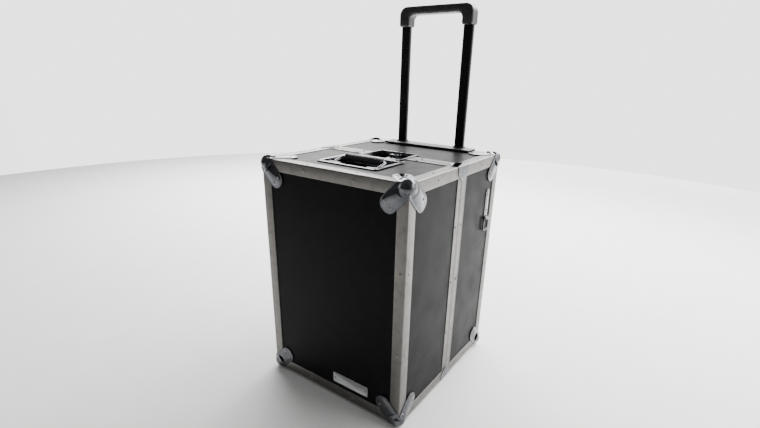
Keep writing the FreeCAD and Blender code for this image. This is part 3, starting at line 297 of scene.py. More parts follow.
def black_tube():
    """Black powder-coated aluminium tube: smooth, with drawn lines and rub marks along it."""
    material, tree, place = blank_material("black_coated_tube")
    drawn_place = add(tree, "ShaderNodeMapping", {"Vector": place, "Scale": along((1, 1, 60))})
    drawn = add(tree, "ShaderNodeTexNoise", {"Vector": drawn_place, "Scale": 1 / (0.6 * MM), "Detail": 4})
    rub_place = add(tree, "ShaderNodeMapping", {"Vector": place, "Scale": along((1, 1, 12))})
    rub = add(tree, "ShaderNodeTexNoise", {"Vector": rub_place, "Scale": 1 / (5 * MM), "Detail": 5})
    rubbed = add(tree, "ShaderNodeMapRange", {
        "Value": rub, "From Min": 0.55, "From Max": 0.8, "To Min": 0, "To Max": 0.6})
    tone = add(tree, "ShaderNodeMix", {
        0: rubbed, 6: linear("#060607"), 7: linear("#131315")}, output=2, data_type="RGBA")
    roughness = add(tree, "ShaderNodeMapRange", {
        "Value": rub, "From Min": 0.3, "From Max": 0.7, "To Min": 0.24, "To Max": 0.4})
    relief = add(tree, "ShaderNodeBump", {"Height": drawn, "Distance": 0.03 * MM, "Strength": 0.3})
    return finish_material(material, {
        "Base Color": tone, "Roughness": roughness, "Normal": relief, "IOR": 1.5,
        "Specular IOR Level": 0.25})


def powder_coat():
    """Black powder coat on steel rails: fine orange peel."""
    material, tree, place = blank_material("black_powder_coat")
    peel = add(tree, "ShaderNodeTexNoise", {"Vector": place, "Scale": 1 / (1.4 * MM), "Detail": 2})
    cloud = add(tree, "ShaderNodeTexNoise", {"Vector": place, "Scale": 1 / (30 * MM), "Detail": 4})
    tone = two_tone(tree, cloud, "#161617", "#212122")
    roughness = add(tree, "ShaderNodeMapRange", {
        "Value": cloud, "From Min": 0.3, "From Max": 0.7, "To Min": 0.35, "To Max": 0.48})
    relief = add(tree, "ShaderNodeBump", {"Height": peel, "Distance": 0.08 * MM, "Strength": 0.35})
    return finish_material(material, {
        "Base Color": tone, "Roughness": roughness, "Normal": relief, "IOR": 1.5})


def brushed_plate():
    """Brushed aluminium sheet: fine lines along its length, clear lacquer over them.

    The brushing is drawn at 0.35 mm, about four times its real spacing, so that it shows.
    """
    material, tree, place = blank_material("brushed_aluminium_sheet")
    lines_place = add(tree, "ShaderNodeMapping", {"Vector": place, "Scale": along((60, 1, 1))})
    lines = add(tree, "ShaderNodeTexNoise", {"Vector": lines_place, "Scale": 1 / (0.35 * MM), "Detail": 4})
    tone = two_tone(tree, lines, "#D2D3D5", "#A9AAAD")
    roughness = add(tree, "ShaderNodeMapRange", {
        "Value": lines, "From Min": 0.3, "From Max": 0.7, "To Min": 0.24, "To Max": 0.4})
    relief = add(tree, "ShaderNodeBump", {"Height": lines, "Distance": 0.02 * MM, "Strength": 0.4})
    return finish_material(material, {
        "Base Color": tone, "Roughness": roughness, "Normal": relief, "Metallic": 1.0,
        "Coat Weight": 0.2, "Coat Roughness": 0.1})


def cast_polyurethane():
    """Dark polyurethane tyre: satin, scuffed dull and dusty on its tread."""
    material, tree, place = blank_material("cast_polyurethane_tyre")
    scuff = add(tree, "ShaderNodeTexNoise", {"Vector": place, "Scale": 1 / (3 * MM), "Detail": 5})
    tone = two_tone(tree, scuff, "#1A1A1B", "#333231")
    roughness = add(tree, "ShaderNodeMapRange", {
        "Value": scuff, "From Min": 0.3, "From Max": 0.7, "To Min": 0.45, "To Max": 0.7})
    relief = add(tree, "ShaderNodeBump", {"Height": scuff, "Distance": 0.1 * MM, "Strength": 0.4})
    return finish_material(material, {
        "Base Color": tone, "Roughness": roughness, "Normal": relief, "IOR": 1.48})


def moulded_nylon():
    """Dark grey nylon wheel centre: waxy, with faint flow marks."""
    material, tree, place = blank_material("moulded_grey_nylon")
    flow = add(tree, "ShaderNodeTexNoise", {"Vector": place, "Scale": 1 / (6 * MM), "Detail": 4})
    tone = two_tone(tree, flow, "#4A4B4D", "#3B3C3E")
    roughness = add(tree, "ShaderNodeMapRange", {
        "Value": flow, "From Min": 0.3, "From Max": 0.7, "To Min": 0.35, "To Max": 0.5})
    relief = add(tree, "ShaderNodeBump", {"Height": flow, "Distance": 0.05 * MM, "Strength": 0.2})
    return finish_material(material, {
        "Base Color": tone, "Roughness": roughness, "Normal": relief, "IOR": 1.53})


def mill_aluminium():
    """Mill-finish aluminium tube: pale, with long drawing marks and oxide clouds. Its colour is painted
    darker than real aluminium, as painted shade that dims the tubes under the lights behind the case.
    """
    material, tree, place = blank_material("mill_finish_aluminium")
    drawn_place = add(tree, "ShaderNodeMapping", {"Vector": place, "Scale": along((1, 1, 50))})
    drawn = add(tree, "ShaderNodeTexNoise", {"Vector": drawn_place, "Scale": 1 / (0.7 * MM), "Detail": 4})
    cloud = add(tree, "ShaderNodeTexNoise", {"Vector": place, "Scale": 1 / (16 * MM), "Detail": 4})
    # Painted shade: both tones sit below real mill-finish aluminium; the clouds between them are oxide.
    tone = two_tone(tree, cloud, "#8C8D8F", "#77797C")
    roughness = add(tree, "ShaderNodeMapRange", {
        "Value": drawn, "From Min": 0.3, "From Max": 0.7, "To Min": 0.3, "To Max": 0.46})
    relief = add(tree, "ShaderNodeBump", {"Height": drawn, "Distance": 0.03 * MM, "Strength": 0.4})
    return finish_material(material, {
        "Base Color": tone, "Roughness": roughness, "Normal": relief, "Metallic": 1.0})


def studio_paper():
    """Pale seamless paper: very slight mottling."""
    material, tree, place = blank_material("pale_studio_paper")
    mottle = add(tree, "ShaderNodeTexNoise", {"Vector": place, "Scale": 1 / (120 * MM), "Detail": 3})
    tone = two_tone(tree, mottle, "#F0F0EF", "#ECECEB")
    roughness = add(tree, "ShaderNodeMapRange", {
        "Value": mottle, "From Min": 0.3, "From Max": 0.7, "To Min": 0.75, "To Max": 0.85})
    return finish_material(material, {"Base Color": tone, "Roughness": roughness, "IOR": 1.4})


ALUMINIUM = {
    "x": edge_aluminium("anodised_edge_across", (60, 1, 1)),
    "y": edge_aluminium("anodised_edge_lengthwise", (1, 60, 1)),
    "z": edge_aluminium("anodised_edge_upright", (1, 1, 60)),
}
CHROME = chromed_steel()
ZINC = zinc_plate()
RIVET = rivet_steel()
LAMINATE = laminate_panel()
RUBBER = moulded_rubber()
ABS = moulded_abs()
TUBE = black_tube()
POWDER = powder_coat()
PLATE = brushed_plate()
TYRE = cast_polyurethane()
NYLON = moulded_nylon()
MILL = mill_aluminium()


# ---------------------------------------------------------------- mesh tools


def make_piece(name, bm, body, replaced, materials, sharp=32):
    """Turns a bmesh into a piece that rides on a body and stands for CAD nodes."""
    bmesh.ops.remove_doubles(bm, verts=bm.verts, dist=0.001 * MM)
    bmesh.ops.recalc_face_normals(bm, faces=bm.faces)
    mesh = bpy.data.meshes.new(name)
    bm.to_mesh(mesh)
    bm.free()
    mesh.shade_smooth()
    mesh.set_sharp_from_angle(angle=radians(sharp))
    for material in materials:
        mesh.materials.append(material)
    piece = bpy.data.objects.new(name, mesh)
    bpy.context.collection.objects.link(piece)
    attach(piece, body)
    if replaced:
        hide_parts(*replaced)
    return piece


def merge(bm, other, matrix=None, material=0):
    """Adds another bmesh's faces to bm, placed by matrix."""
    if matrix is not None:
        bmesh.ops.transform(other, matrix=matrix, verts=other.verts)
    for face in other.faces:
        face.material_index = material
    mesh = bpy.data.meshes.new("joining")
    other.to_mesh(mesh)
    other.free()
    bm.from_mesh(mesh)
    bpy.data.meshes.remove(mesh)


def round_edges(bm, edges, radius, segments=2):
    bmesh.ops.bevel(bm, geom=edges, offset=radius, offset_type="OFFSET", segments=segments,
                    profile=0.5, affect="EDGES", clamp_overlap=True, material=-1)


def sharp_edges(bm):
    """The edges where two faces turn by more than a radian."""
    return [e for e in bm.edges if e.calc_face_angle(0) > 1]


def cuboid(low, high, radius=0.0, segments=2):
    bm = bmesh.new()
    bmesh.ops.create_cube(bm, size=1)
    low, high = Vector(low), Vector(high)
    bmesh.ops.scale(bm, vec=high - low, verts=bm.verts)
    bmesh.ops.translate(bm, vec=(low + high) / 2, verts=bm.verts)
    if radius:
        round_edges(bm, bm.edges[:], radius, segments)
    return bm


def polygon(points):
    """One flat face in the XY plane through these corners."""
    bm = bmesh.new()
    bm.faces.new([bm.verts.new((x, y, 0)) for x, y in points])
    bm.normal_update()
    return bm


def rectangle(width, height):
    """A flat rectangle with its middle at the origin."""
    return polygon([(-width / 2, -height / 2), (width / 2, -height / 2), (width / 2, height / 2),
                    (-width / 2, height / 2)])


def hollow_out(bm, wall):
    """Turns a flat outline into a flat ring of this wall."""
    bm.normal_update()
    outline = bm.faces[:]
    bmesh.ops.inset_region(bm, faces=outline, thickness=wall, depth=0, use_boundary=True,
                           use_even_offset=True)
    bmesh.ops.delete(bm, geom=outline, context="FACES_ONLY")


def round_corners(bm, radius, segments=6, chosen=None):
    """Rounds the corners of a flat outline; chosen picks them by place."""
    verts = [v for v in bm.verts if chosen is None or chosen(v.co)]
    bmesh.ops.bevel(bm, geom=verts, offset=radius, offset_type="OFFSET", segments=segments,
                    profile=0.5, affect="VERTICES", clamp_overlap=True, material=-1)
    bm.normal_update()


def rise(bm, faces, shift):
    """Extrudes faces by a shift and returns the moved ones."""
    made = bmesh.ops.extrude_face_region(bm, geom=faces)["geom"]
    verts = [g for g in made if isinstance(g, bmesh.types.BMVert)]
    bmesh.ops.translate(bm, vec=shift, verts=verts)
    bmesh.ops.recalc_face_normals(bm, faces=bm.faces)
    return [g for g in made if isinstance(g, bmesh.types.BMFace)]


def cut_away(bm, point, normal):
    """Removes what lies past a plane and closes the cut."""
    cut = bmesh.ops.bisect_plane(bm, geom=bm.verts[:] + bm.edges[:] + bm.faces[:],
                                 plane_co=point, plane_no=normal, clear_outer=True)
    edges = [g for g in cut["geom_cut"] if isinstance(g, bmesh.types.BMEdge)]
    bmesh.ops.edgenet_fill(bm, edges=edges)


def step(bm, faces, margin, shift):
    """Moves the middle of some faces, leaving a margin round them: a pressed or moulded step."""
    bmesh.ops.inset_region(bm, faces=faces, thickness=margin, depth=0)
    bmesh.ops.translate(bm, vec=shift, verts=list({v for f in faces for v in f.verts}))
    bm.normal_update()


def spun(profile, steps=32):
    """Turns a (radius, height) profile about Z into a closed ring or a solid of revolution."""
    bm = bmesh.new()
    verts = [bm.verts.new((r, 0, h)) for r, h in profile]
    edges = [bm.edges.new(pair) for pair in zip(verts, verts[1:])]
    bmesh.ops.spin(bm, geom=verts + edges, cent=(0, 0, 0), axis=Z, angle=2 * pi, steps=steps,
                   use_merge=True)
    bmesh.ops.remove_doubles(bm, verts=bm.verts, dist=0.001 * MM)
    return bm


def collar(inner, outer, half, steps):
    """A square-edged ring about Z, with its middle at the origin."""
    return spun([(inner, -half), (outer, -half), (outer, half), (inner, half), (inner, -half)], steps)


def rod(radius, length, rounding=0.0, steps=24):
    """A bar along Z from 0 to length, its ends rounded over."""
    bm = bmesh.new()
    bmesh.ops.create_cone(bm, cap_ends=True, segments=steps, radius1=radius, radius2=radius,
                          depth=length)
    bmesh.ops.translate(bm, vec=(0, 0, length / 2), verts=bm.verts)
    if rounding:
        ends = [e for e in bm.edges if abs(e.verts[0].co.z - e.verts[1].co.z) < MM * 0.001]
        round_edges(bm, ends, rounding, 3)
    return bm


def swept(points, radius, steps=12, closed=False):
    """A round wire of one radius that follows points, its bends already in them."""
    bm = bmesh.new()
    count = len(points)
    rings = []
    for i, point in enumerate(points):
        before = points[i - 1] if i or closed else point
        after = points[(i + 1) % count] if i < count - 1 or closed else point
        facing = (after - before).to_track_quat("Z", "X").to_matrix().to_4x4()
        ring = bmesh.ops.create_circle(bm, cap_ends=False, segments=steps, radius=radius,
                                       matrix=Matrix.Translation(point) @ facing)["verts"]
        rings.append([e for e in bm.edges if e.verts[0] in ring and e.verts[1] in ring])
    pairs = list(zip(rings, rings[1:] + rings[:1])) if closed else list(zip(rings, rings[1:]))
    for one, other in pairs:
        bmesh.ops.bridge_loops(bm, edges=one + other)
    if not closed:
        bmesh.ops.holes_fill(bm, edges=bm.edges, sides=steps)
    return bm


def turn_to(direction, place):
    """Carries local +Z to a direction at a place."""
    return Matrix.Translation(place) @ Vector(direction).to_track_quat("Z", "Y").to_matrix().to_4x4()


def facing(origin, across, outward):
    """A matrix for work laid flat on a face: local X runs across, local Z points outward."""
    across, outward = Vector(across).normalized(), Vector(outward).normalized()
    up = outward.cross(across)
    turn = Matrix((across, up, outward)).transposed().to_4x4()
    return Matrix.Translation(origin) @ turn


def loose_parts(node):
    """The lowest and highest corner of each separate solid in a CAD node."""
    bm = bmesh.new()
    bm.from_mesh(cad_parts[node].data)
    bmesh.ops.remove_doubles(bm, verts=bm.verts, dist=0.01 * MM)
    waiting, boxes = set(bm.verts), []
    while waiting:
        reached = [waiting.pop()]
        part = []
        while reached:
            vert = reached.pop()
            part.append(vert.co.copy())
            for edge in vert.link_edges:
                other = edge.other_vert(vert)
                if other in waiting:
                    waiting.discard(other)
                    reached.append(other)
        low = Vector(map(min, zip(*part)))
        high = Vector(map(max, zip(*part)))
        boxes.append((low, high))
    bm.free()
    return sorted(boxes, key=lambda box: tuple(round(c, 5) for c in box[0]))


def ring_bars(node):
    """The four bars of a ring that lies across the case: uprights stop at the lengthwise flanges."""
    low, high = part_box(node)
    width = EDGE_FLANGE
    bars = []
    for x0, x1 in ((low.x, low.x + width), (high.x - width, high.x)):
        bars.append((Vector((x0, low.y, low.z)), Vector((x1, high.y, high.z))))
    for z0, z1 in ((low.z, low.z + width), (high.z - width, high.z)):
        bars.append((Vector((low.x, low.y, z0)), Vector((high.x, high.y, z1))))
    return bars


# ---------------------------------------------------------------- aluminium edges


def angle_profile(flange, wall, crown):
    """Section of an edge angle in the XY plane: its outside corner at the origin, rounded."""
    bm = polygon([(0, 0), (flange, 0), (flange, wall), (wall, wall), (wall, flange), (0, flange)])
    round_corners(bm, crown, 5, lambda p: p.length < 0.1 * MM)
    lip = wall * 0.45
    round_corners(bm, lip, 3, lambda p: max(p.x, p.y) > flange - 0.1 * MM)
    return bm


def edge_bar(low, high, end_room=0.15 * MM):
    """An angle bar that fills this box, with its corner turned to the outside of the case."""
    size = high - low
    along = max(range(3), key=lambda i: size[i])
    middle = (low + high) / 2
    others = [i for i in range(3) if i != along]
    corner = middle.copy()
    legs = []
    for i in others:
        sign = 1 if middle[i] > CASE_MIDDLE[i] else -1
        corner[i] = high[i] if sign > 0 else low[i]
        leg = Vector((0, 0, 0))
        leg[i] = -sign
        legs.append(leg)
    corner[along] = low[along] + end_room
    run = Vector((0, 0, 0))
    run[along] = 1
    bm = angle_profile(size[others[0]], EXTRUSION_WALL, 2.2 * MM)
    rise(bm, bm.faces[:], (0, 0, size[along] - 2 * end_room))
    turn = Matrix((legs[0], legs[1], run)).transposed().to_4x4()
    bmesh.ops.transform(bm, matrix=Matrix.Translation(corner) @ turn, verts=bm.verts)
    return bm, "xyz"[along]


def make_edges():
    for node, body in (
        ("cover_front_edges", "cover"), ("cover_side_edges", "cover"),
        ("body_rear_edges", "case_body"), ("body_side_edges", "case_body"),
    ):
        bm = bmesh.new()
        bars = loose_parts(node) if "side" in node else ring_bars(node)
        for low, high in bars:
            bar, axis = edge_bar(low, high)
            merge(bm, bar, None, "xyz".index(axis))
        make_piece(f"{node}_bars", bm, body, [node], list(ALUMINIUM.values()))


# ---------------------------------------------------------------- seam extrusions


def seam_profile(flange, thickness, tongue):
    """Section of a seam extrusion: X runs away from the seam, Y into the wall of the case."""
    wall = EXTRUSION_WALL
    web = 5 * MM
    middle = thickness / 2
    ridge = 0.5 * MM
    if tongue:
        room = 1.7 * MM
        nose = [(0, middle + room), (-2.7 * MM, middle + room * 0.7), (-2.7 * MM, middle - room * 0.7),
                (0, middle - room)]
    else:
        room = 2.0 * MM
        nose = [(0, middle + room), (3 * MM, middle + room), (3 * MM, middle - room),
                (0, middle - room)]
    points = [
        (0, ridge), (0.8 * MM, 0), (3.2 * MM, 0), (4.0 * MM, ridge), (6 * MM, ridge),
        (flange - 3 * MM, ridge), (flange - 2 * MM, 0.1 * MM), (flange - 0.4 * MM, 0.1 * MM),
        (flange, 0.5 * MM), (flange, wall),
        (web, wall), (web, thickness - wall), (flange, thickness - wall), (flange, thickness),
        (0, thickness),
    ]
    return polygon(points + nose)


def seam_bar(low, high, half, tongue):
    size = high - low
    upright = size.z > size.x
    along = 2 if upright else 0
    across = 0 if upright else 2
    middle = (low + high) / 2
    sign = 1 if middle[across] > CASE_MIDDLE[across] else -1
    inward = Vector((0, 0, 0))
    inward[across] = -sign
    run = Vector((0, 0, 0))
    run[along] = 1
    away = -Y if half == "cover" else Y
    origin = middle.copy()
    origin[across] = high[across] if sign > 0 else low[across]
    origin[along] = low[along]
    nose = 2.7 * MM if tongue else 0
    origin.y = high.y if half == "cover" else low.y + nose
    flange = size.y - nose
    bm = seam_profile(flange, size[across], tongue)
    rise(bm, bm.faces[:], (0, 0, size[along]))
    turn = Matrix((away, inward, run)).transposed().to_4x4()
    bmesh.ops.transform(bm, matrix=Matrix.Translation(origin) @ turn, verts=bm.verts)
    return bm, "xyz"[along]


def make_seam():
    for node, body, half, tongue in (
        ("cover_groove_frame", "cover", "cover", False),
        ("body_tongue_frame", "case_body", "body", True),
    ):
        bm = bmesh.new()
        for low, high in loose_parts(node):
            bar, axis = seam_bar(low, high, half, tongue)
            merge(bm, bar, None, "xyz".index(axis))
        make_piece(f"{node}_bars", bm, body, [node], list(ALUMINIUM.values()), 20)


def make_braces():
    """Pressed angle braces with cropped toes that hug the edge where the seam crosses it."""
    wall = 1.2 * MM
    for node, body in (("cover_seam_braces", "cover"), ("body_seam_braces", "case_body")):
        bm = bmesh.new()
        for low, high in loose_parts(node):
            middle = (low + high) / 2
            sx = 1 if middle.x > 0 else -1
            sz = 1 if middle.z > CASE_MIDDLE.z else -1
            corner = Vector((high.x if sx > 0 else low.x, low.y, high.z if sz > 0 else low.z))
            brace = angle_profile(high.x - low.x, wall, 2.8 * MM)
            rise(brace, brace.faces[:], (0, 0, high.y - low.y))
            # The free toes are cropped at an angle, away from the seam.
            reach = high.x - low.x
            tall = high.y - low.y
            near_seam_at_top = body == "cover"
            for leg in (0, 1):
                across = Vector((1, 0, 0)) if leg == 0 else Vector((0, 1, 0))
                slope = -1 if near_seam_at_top else 1
                point = across * reach * 0.55
                point.z = 0 if near_seam_at_top else tall
                normal = (across * tall * 0.75 + Vector((0, 0, slope)) * reach * 0.45).normalized()
                cut_away(brace, point, normal)
            turn = Matrix((Vector((-sx, 0, 0)), Vector((0, 0, -sz)), Y)).transposed().to_4x4()
            bmesh.ops.transform(brace, matrix=Matrix.Translation(corner) @ turn, verts=brace.verts)
            merge(bm, brace)
        make_piece(f"{node}_pressings", bm, body, [node], [CHROME])


# ---------------------------------------------------------------- rivets


def rivet_head(radius, height):
    """A domed blind-rivet head with the dark dimple that its mandrel leaves."""
    dome = [(radius * 0.26, -0.35 * height), (radius * 0.26, height * 0.92), (radius * 0.42, height),
            (radius * 0.72, height * 0.78), (radius * 0.93, height * 0.42), (radius, height * 0.12),
            (radius, -0.2 * MM)]
    bm = spun([(0, -0.35 * height)] + dome + [(0, -0.2 * MM)], 16)
    return bm


def outward_of(low, high):
    """The direction that a thin solid on the case's surface faces."""
    size = high - low
    axis = min(range(3), key=lambda i: size[i])
    middle = (low + high) / 2
    direction = Vector((0, 0, 0))
    direction[axis] = 1 if middle[axis] > CASE_MIDDLE[axis] else -1
    return axis, direction


def make_rivets():
    for node, body in (("cover_rivets", "cover"), ("body_rivets", "case_body")):
        bm = bmesh.new()
        for low, high in loose_parts(node):
            axis, direction = outward_of(low, high)
            seat = (low + high) / 2
            seat[axis] = low[axis] if direction[axis] > 0 else high[axis]
            size = high - low
            merge(bm, rivet_head(max(size) / 2, min(size)), turn_to(direction, seat))
        make_piece(f"{node}_heads", bm, body, [node], [RIVET])


# ---------------------------------------------------------------- ball corners


def corner_tongue():
    """One leg of a corner, on the XY plane with the corner of the case at the origin."""
    wall = 1.5 * MM
    half = 19 * MM * sqrt(2)
    end = 78 * MM / sqrt(2)
    side = 19 * MM / sqrt(2)
    under_ball = 9 * MM
    bm = polygon([(-wall, under_ball), (under_ball, -wall), (half, -wall), (end + side, end - side),
                  (end - side, end + side), (-wall, half)])
    round_corners(bm, 17.5 * MM, 9, lambda p: min(p.x, p.y) > 30 * MM)
    round_corners(bm, 7 * MM, 5, lambda p: abs(max(p.x, p.y) - half) < 0.1 * MM)
    top = rise(bm, bm.faces[:], (0, 0, -wall))
    bmesh.ops.inset_region(bm, faces=top, thickness=0.7 * MM, depth=0)
    # A shallow pressed step follows the outline of the leg.
    inner = [f for f in bm.faces
             if abs(f.normal.z) > 0.9 and abs(f.calc_center_median().z + wall) < 1e-5]
    inner = [max(inner, key=lambda f: f.calc_area())]
    bmesh.ops.inset_region(bm, faces=inner, thickness=4.5 * MM, depth=0)
    step(bm, inner, 1.2 * MM, (0, 0, -0.7 * MM))
    rim = [e for e in bm.edges if len(e.link_faces) == 2
           and abs(e.verts[0].co.z + wall) < 1e-5 and abs(e.verts[1].co.z + wall) < 1e-5
           and any(abs(f.normal.z) < 0.2 for f in e.link_faces)]
    round_edges(bm, rim, 0.5 * MM, 2)
    return bm


def ball_corner():
    """A pressed ball corner: the case fills the positive octant of its own axes."""
    bm = bmesh.new()
    inset = 10 * MM
    ball = bmesh.new()
    bmesh.ops.create_uvsphere(ball, u_segments=40, v_segments=24, radius=17 * MM)
    diagonal = Vector((-1, -1, -1)).normalized()
    merge(bm, ball, turn_to(diagonal, (inset, inset, inset)))
    # The collar flares from the ball like a bell mouth and dies into the three legs.
    flare = [(16.2, 5.2), (17.0, 2.8), (18.4, 0.6), (20.2, -1.2), (22.0, -2.3), (22.6, -3.2),
             (22.2, -4.2), (20.0, -5.0), (15.0, -5.2)]
    collar = spun([(r * MM, h * MM) for r, h in flare], 48)
    merge(bm, collar, turn_to(diagonal, (inset, inset, inset)))
    for turns in range(3):
        merge(bm, corner_tongue(), Matrix.Rotation(turns * 2 * pi / 3, 4, (1, 1, 1)))
    return bm


def make_corners():
    for node, body in (("cover_ball_corners", "cover"), ("body_ball_corners", "case_body")):
        bm = bmesh.new()
        for low, high in loose_parts(node):
            middle = (low + high) / 2
            signs = [1 if middle[i] > CASE_MIDDLE[i] else -1 for i in range(3)]
            place = Vector([(high[i] - CORNER_PROUD) if signs[i] > 0 else (low[i] + CORNER_PROUD)
                            for i in range(3)])
            flip = Matrix.Diagonal([-s for s in signs] + [1])
            corner = ball_corner()
            merge(bm, corner, Matrix.Translation(place) @ flip)
        make_piece(f"{node}_pressings", bm, body, [node], [CHROME])


# ---------------------------------------------------------------- pressed dishes


def dish(width, depth, corner, rim, recess, skin=1.2 * MM):
    """A pressed dish: local Z points out of the case and its rim lies from z = 0 to z = skin."""
    bm = polygon([(-width / 2, -depth / 2), (width / 2, -depth / 2),
                  (width / 2, depth / 2), (-width / 2, depth / 2)])
    round_corners(bm, corner, 8)
    top = rise(bm, bm.faces[:], (0, 0, skin))
    bottom = [f for f in bm.faces if f not in top and abs(f.normal.z) > 0.9]
    for faces, inset in ((top, rim), (bottom, rim - skin)):
        bmesh.ops.inset_region(bm, faces=faces, thickness=inset, depth=0)
        step(bm, faces, 0.6 * MM, (0, 0, -recess))
    lips = [e for e in bm.edges if len(e.link_faces) == 2 and e.calc_face_angle(0) > radians(50)]
    round_edges(bm, lips, 0.5 * MM, 2)
    return bm


def make_carry_handle():
    low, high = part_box("carry_handle_dish")
    middle = (low + high) / 2
    recess = TOP - low.z
    bm = bmesh.new()
    merge(bm, dish(high.x - low.x, high.y - low.y, 9 * MM, 9 * MM, recess),
          Matrix.Translation((middle.x, middle.y, TOP)))
    pin_low, pin_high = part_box("carry_handle_pin")
    pin = (pin_low + pin_high) / 2
    lug_end = pin_high.x
    lug_start = lug_end - 4 * MM
    for side in (-1, 1):
        lug = polygon([(-7 * MM, low.z + 1 * MM), (7 * MM, low.z + 1 * MM), (6 * MM, pin.z + 6 * MM),
                       (-6 * MM, pin.z + 6 * MM)])
        round_corners(lug, 5 * MM, 6, lambda p: p.y > pin.z)
        rise(lug, lug.faces[:], (0, 0, lug_end - lug_start))
        round_edges(lug, sharp_edges(lug), 0.4 * MM, 2)
        start = side * lug_start if side > 0 else -lug_end
        turn = Matrix((Y, Z, X)).transposed().to_4x4()
        merge(bm, lug, Matrix.Translation((start, pin.y, 0)) @ turn)
    rivet_inset = 5.5 * MM
    for sx in (-1, 1):
        for sy in (-1, 1):
            seat = Vector((sx * ((high.x - low.x) / 2 - rivet_inset),
                           middle.y + sy * ((high.y - low.y) / 2 - rivet_inset), TOP + 1.2 * MM))
            merge(bm, rivet_head(3.2 * MM, 1.3 * MM), turn_to(Z, seat), 1)
    make_piece("carry_handle_dish_pressing", bm, "cover", ["carry_handle_dish"],
               [CHROME, RIVET])

    bm = rod(3 * MM, pin_high.x - pin_low.x, 0.8 * MM)
    bmesh.ops.transform(bm, matrix=turn_to(X, (pin_low.x, pin.y, pin.z)), verts=bm.verts)
    make_piece("carry_handle_pin_turned", bm, "cover", ["carry_handle_pin"], [ZINC])

    # Torsion springs: a few close turns round the pin; their tails down to the dish are not drawn.
    bm = bmesh.new()
    wire = 0.9 * MM
    for part_low, part_high in loose_parts("carry_handle_springs"):
        turns = 9
        steps = 20
        run = part_high.x - part_low.x - 2 * wire
        points = []
        for i in range(turns * steps + 1):
            angle = 2 * pi * i / steps
            points.append(Vector((part_low.x + wire + run * i / (turns * steps),
                                  pin.y + 4.6 * MM * cos(angle), pin.z + 4.6 * MM * sin(angle))))
        merge(bm, swept(points, wire, 8))
    make_piece("carry_handle_spring_coils", bm, "cover", ["carry_handle_springs"],
               [ZINC], 60)

    make_bail(pin)


def arc(centre, radius, start, end, steps, first, second):
    """Points of an arc in the plane of two directions, from one angle to another."""
    angles = [start + (end - start) * i / steps for i in range(steps + 1)]
    return [centre + first * radius * cos(a) + second * radius * sin(a) for a in angles]


def make_bail(pin):
    grip_low, grip_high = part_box("carry_handle_grip")
    grip = (grip_low + grip_high) / 2
    outward = Vector((0, grip.y - pin.y, grip.z - pin.z))
    reach = outward.length
    outward.normalize()
    arm = 58 * MM
    wire = 4 * MM
    bend = 9 * MM
    centre = Vector((0, pin.y, pin.z))
    left = arc(centre - X * (arm - bend) + outward * (reach - bend), bend, pi, pi / 2, 8, X, outward)
    right = arc(centre + X * (arm - bend) + outward * (reach - bend), bend, pi / 2, 0, 8, X, outward)
    path = [centre - X * arm + outward * 4 * MM] + left + right + [centre + X * arm + outward * 4 * MM]
    bm = swept(path, wire, 16)
    for side in (-1, 1):
        eye = collar(3.05 * MM, 6 * MM, 4.4 * MM, 28)
        merge(bm, eye, turn_to(X, (side * arm, pin.y, pin.z)))
    make_piece("carry_handle_bail_wire", bm, "carry_handle", ["carry_handle_bail"],
               [CHROME], 50)

    # The grip is a fat moulded sleeve with finger ribs and thicker rounded ends.
    half = (grip_high.x - grip_low.x) / 2
    radius = 9 * MM
    profile = [(wire, 0), (radius * 0.8, 0), (radius * 0.97, 1.2 * MM), (radius, 3.5 * MM),
               (radius, 7.5 * MM), (radius * 0.93, 9 * MM)]
    ribs = 9
    pitch = (2 * half - 18 * MM) / ribs
    for i in range(ribs):
        start = 9 * MM + pitch * i
        profile += [(radius * 0.985, start + pitch * 0.25), (radius * 0.985, start + pitch * 0.75),
                    (radius * 0.93, start + pitch)]
    profile += [(radius, 2 * half - 7.5 * MM), (radius, 2 * half - 3.5 * MM),
                (radius * 0.97, 2 * half - 1.2 * MM), (radius * 0.8, 2 * half), (wire, 2 * half)]
    bm = spun(profile + [profile[0]], 36)
    bmesh.ops.transform(bm, matrix=turn_to(X, (-half, grip.y, grip.z)), verts=bm.verts)
    make_piece("carry_handle_grip_sleeve", bm, "carry_handle", ["carry_handle_grip"],
               [RUBBER], 40)


# ---------------------------------------------------------------- butterfly latches


def half_dish(width, depth, corner, rim, recess, skin=1.2 * MM):
    """Half of a split dish: its open end lies on y = 0 and it runs to y = depth."""
    bm = dish(width, depth * 2, corner, rim, recess, skin)
    cut_away(bm, (0, 0, 0), -Y)
    return bm


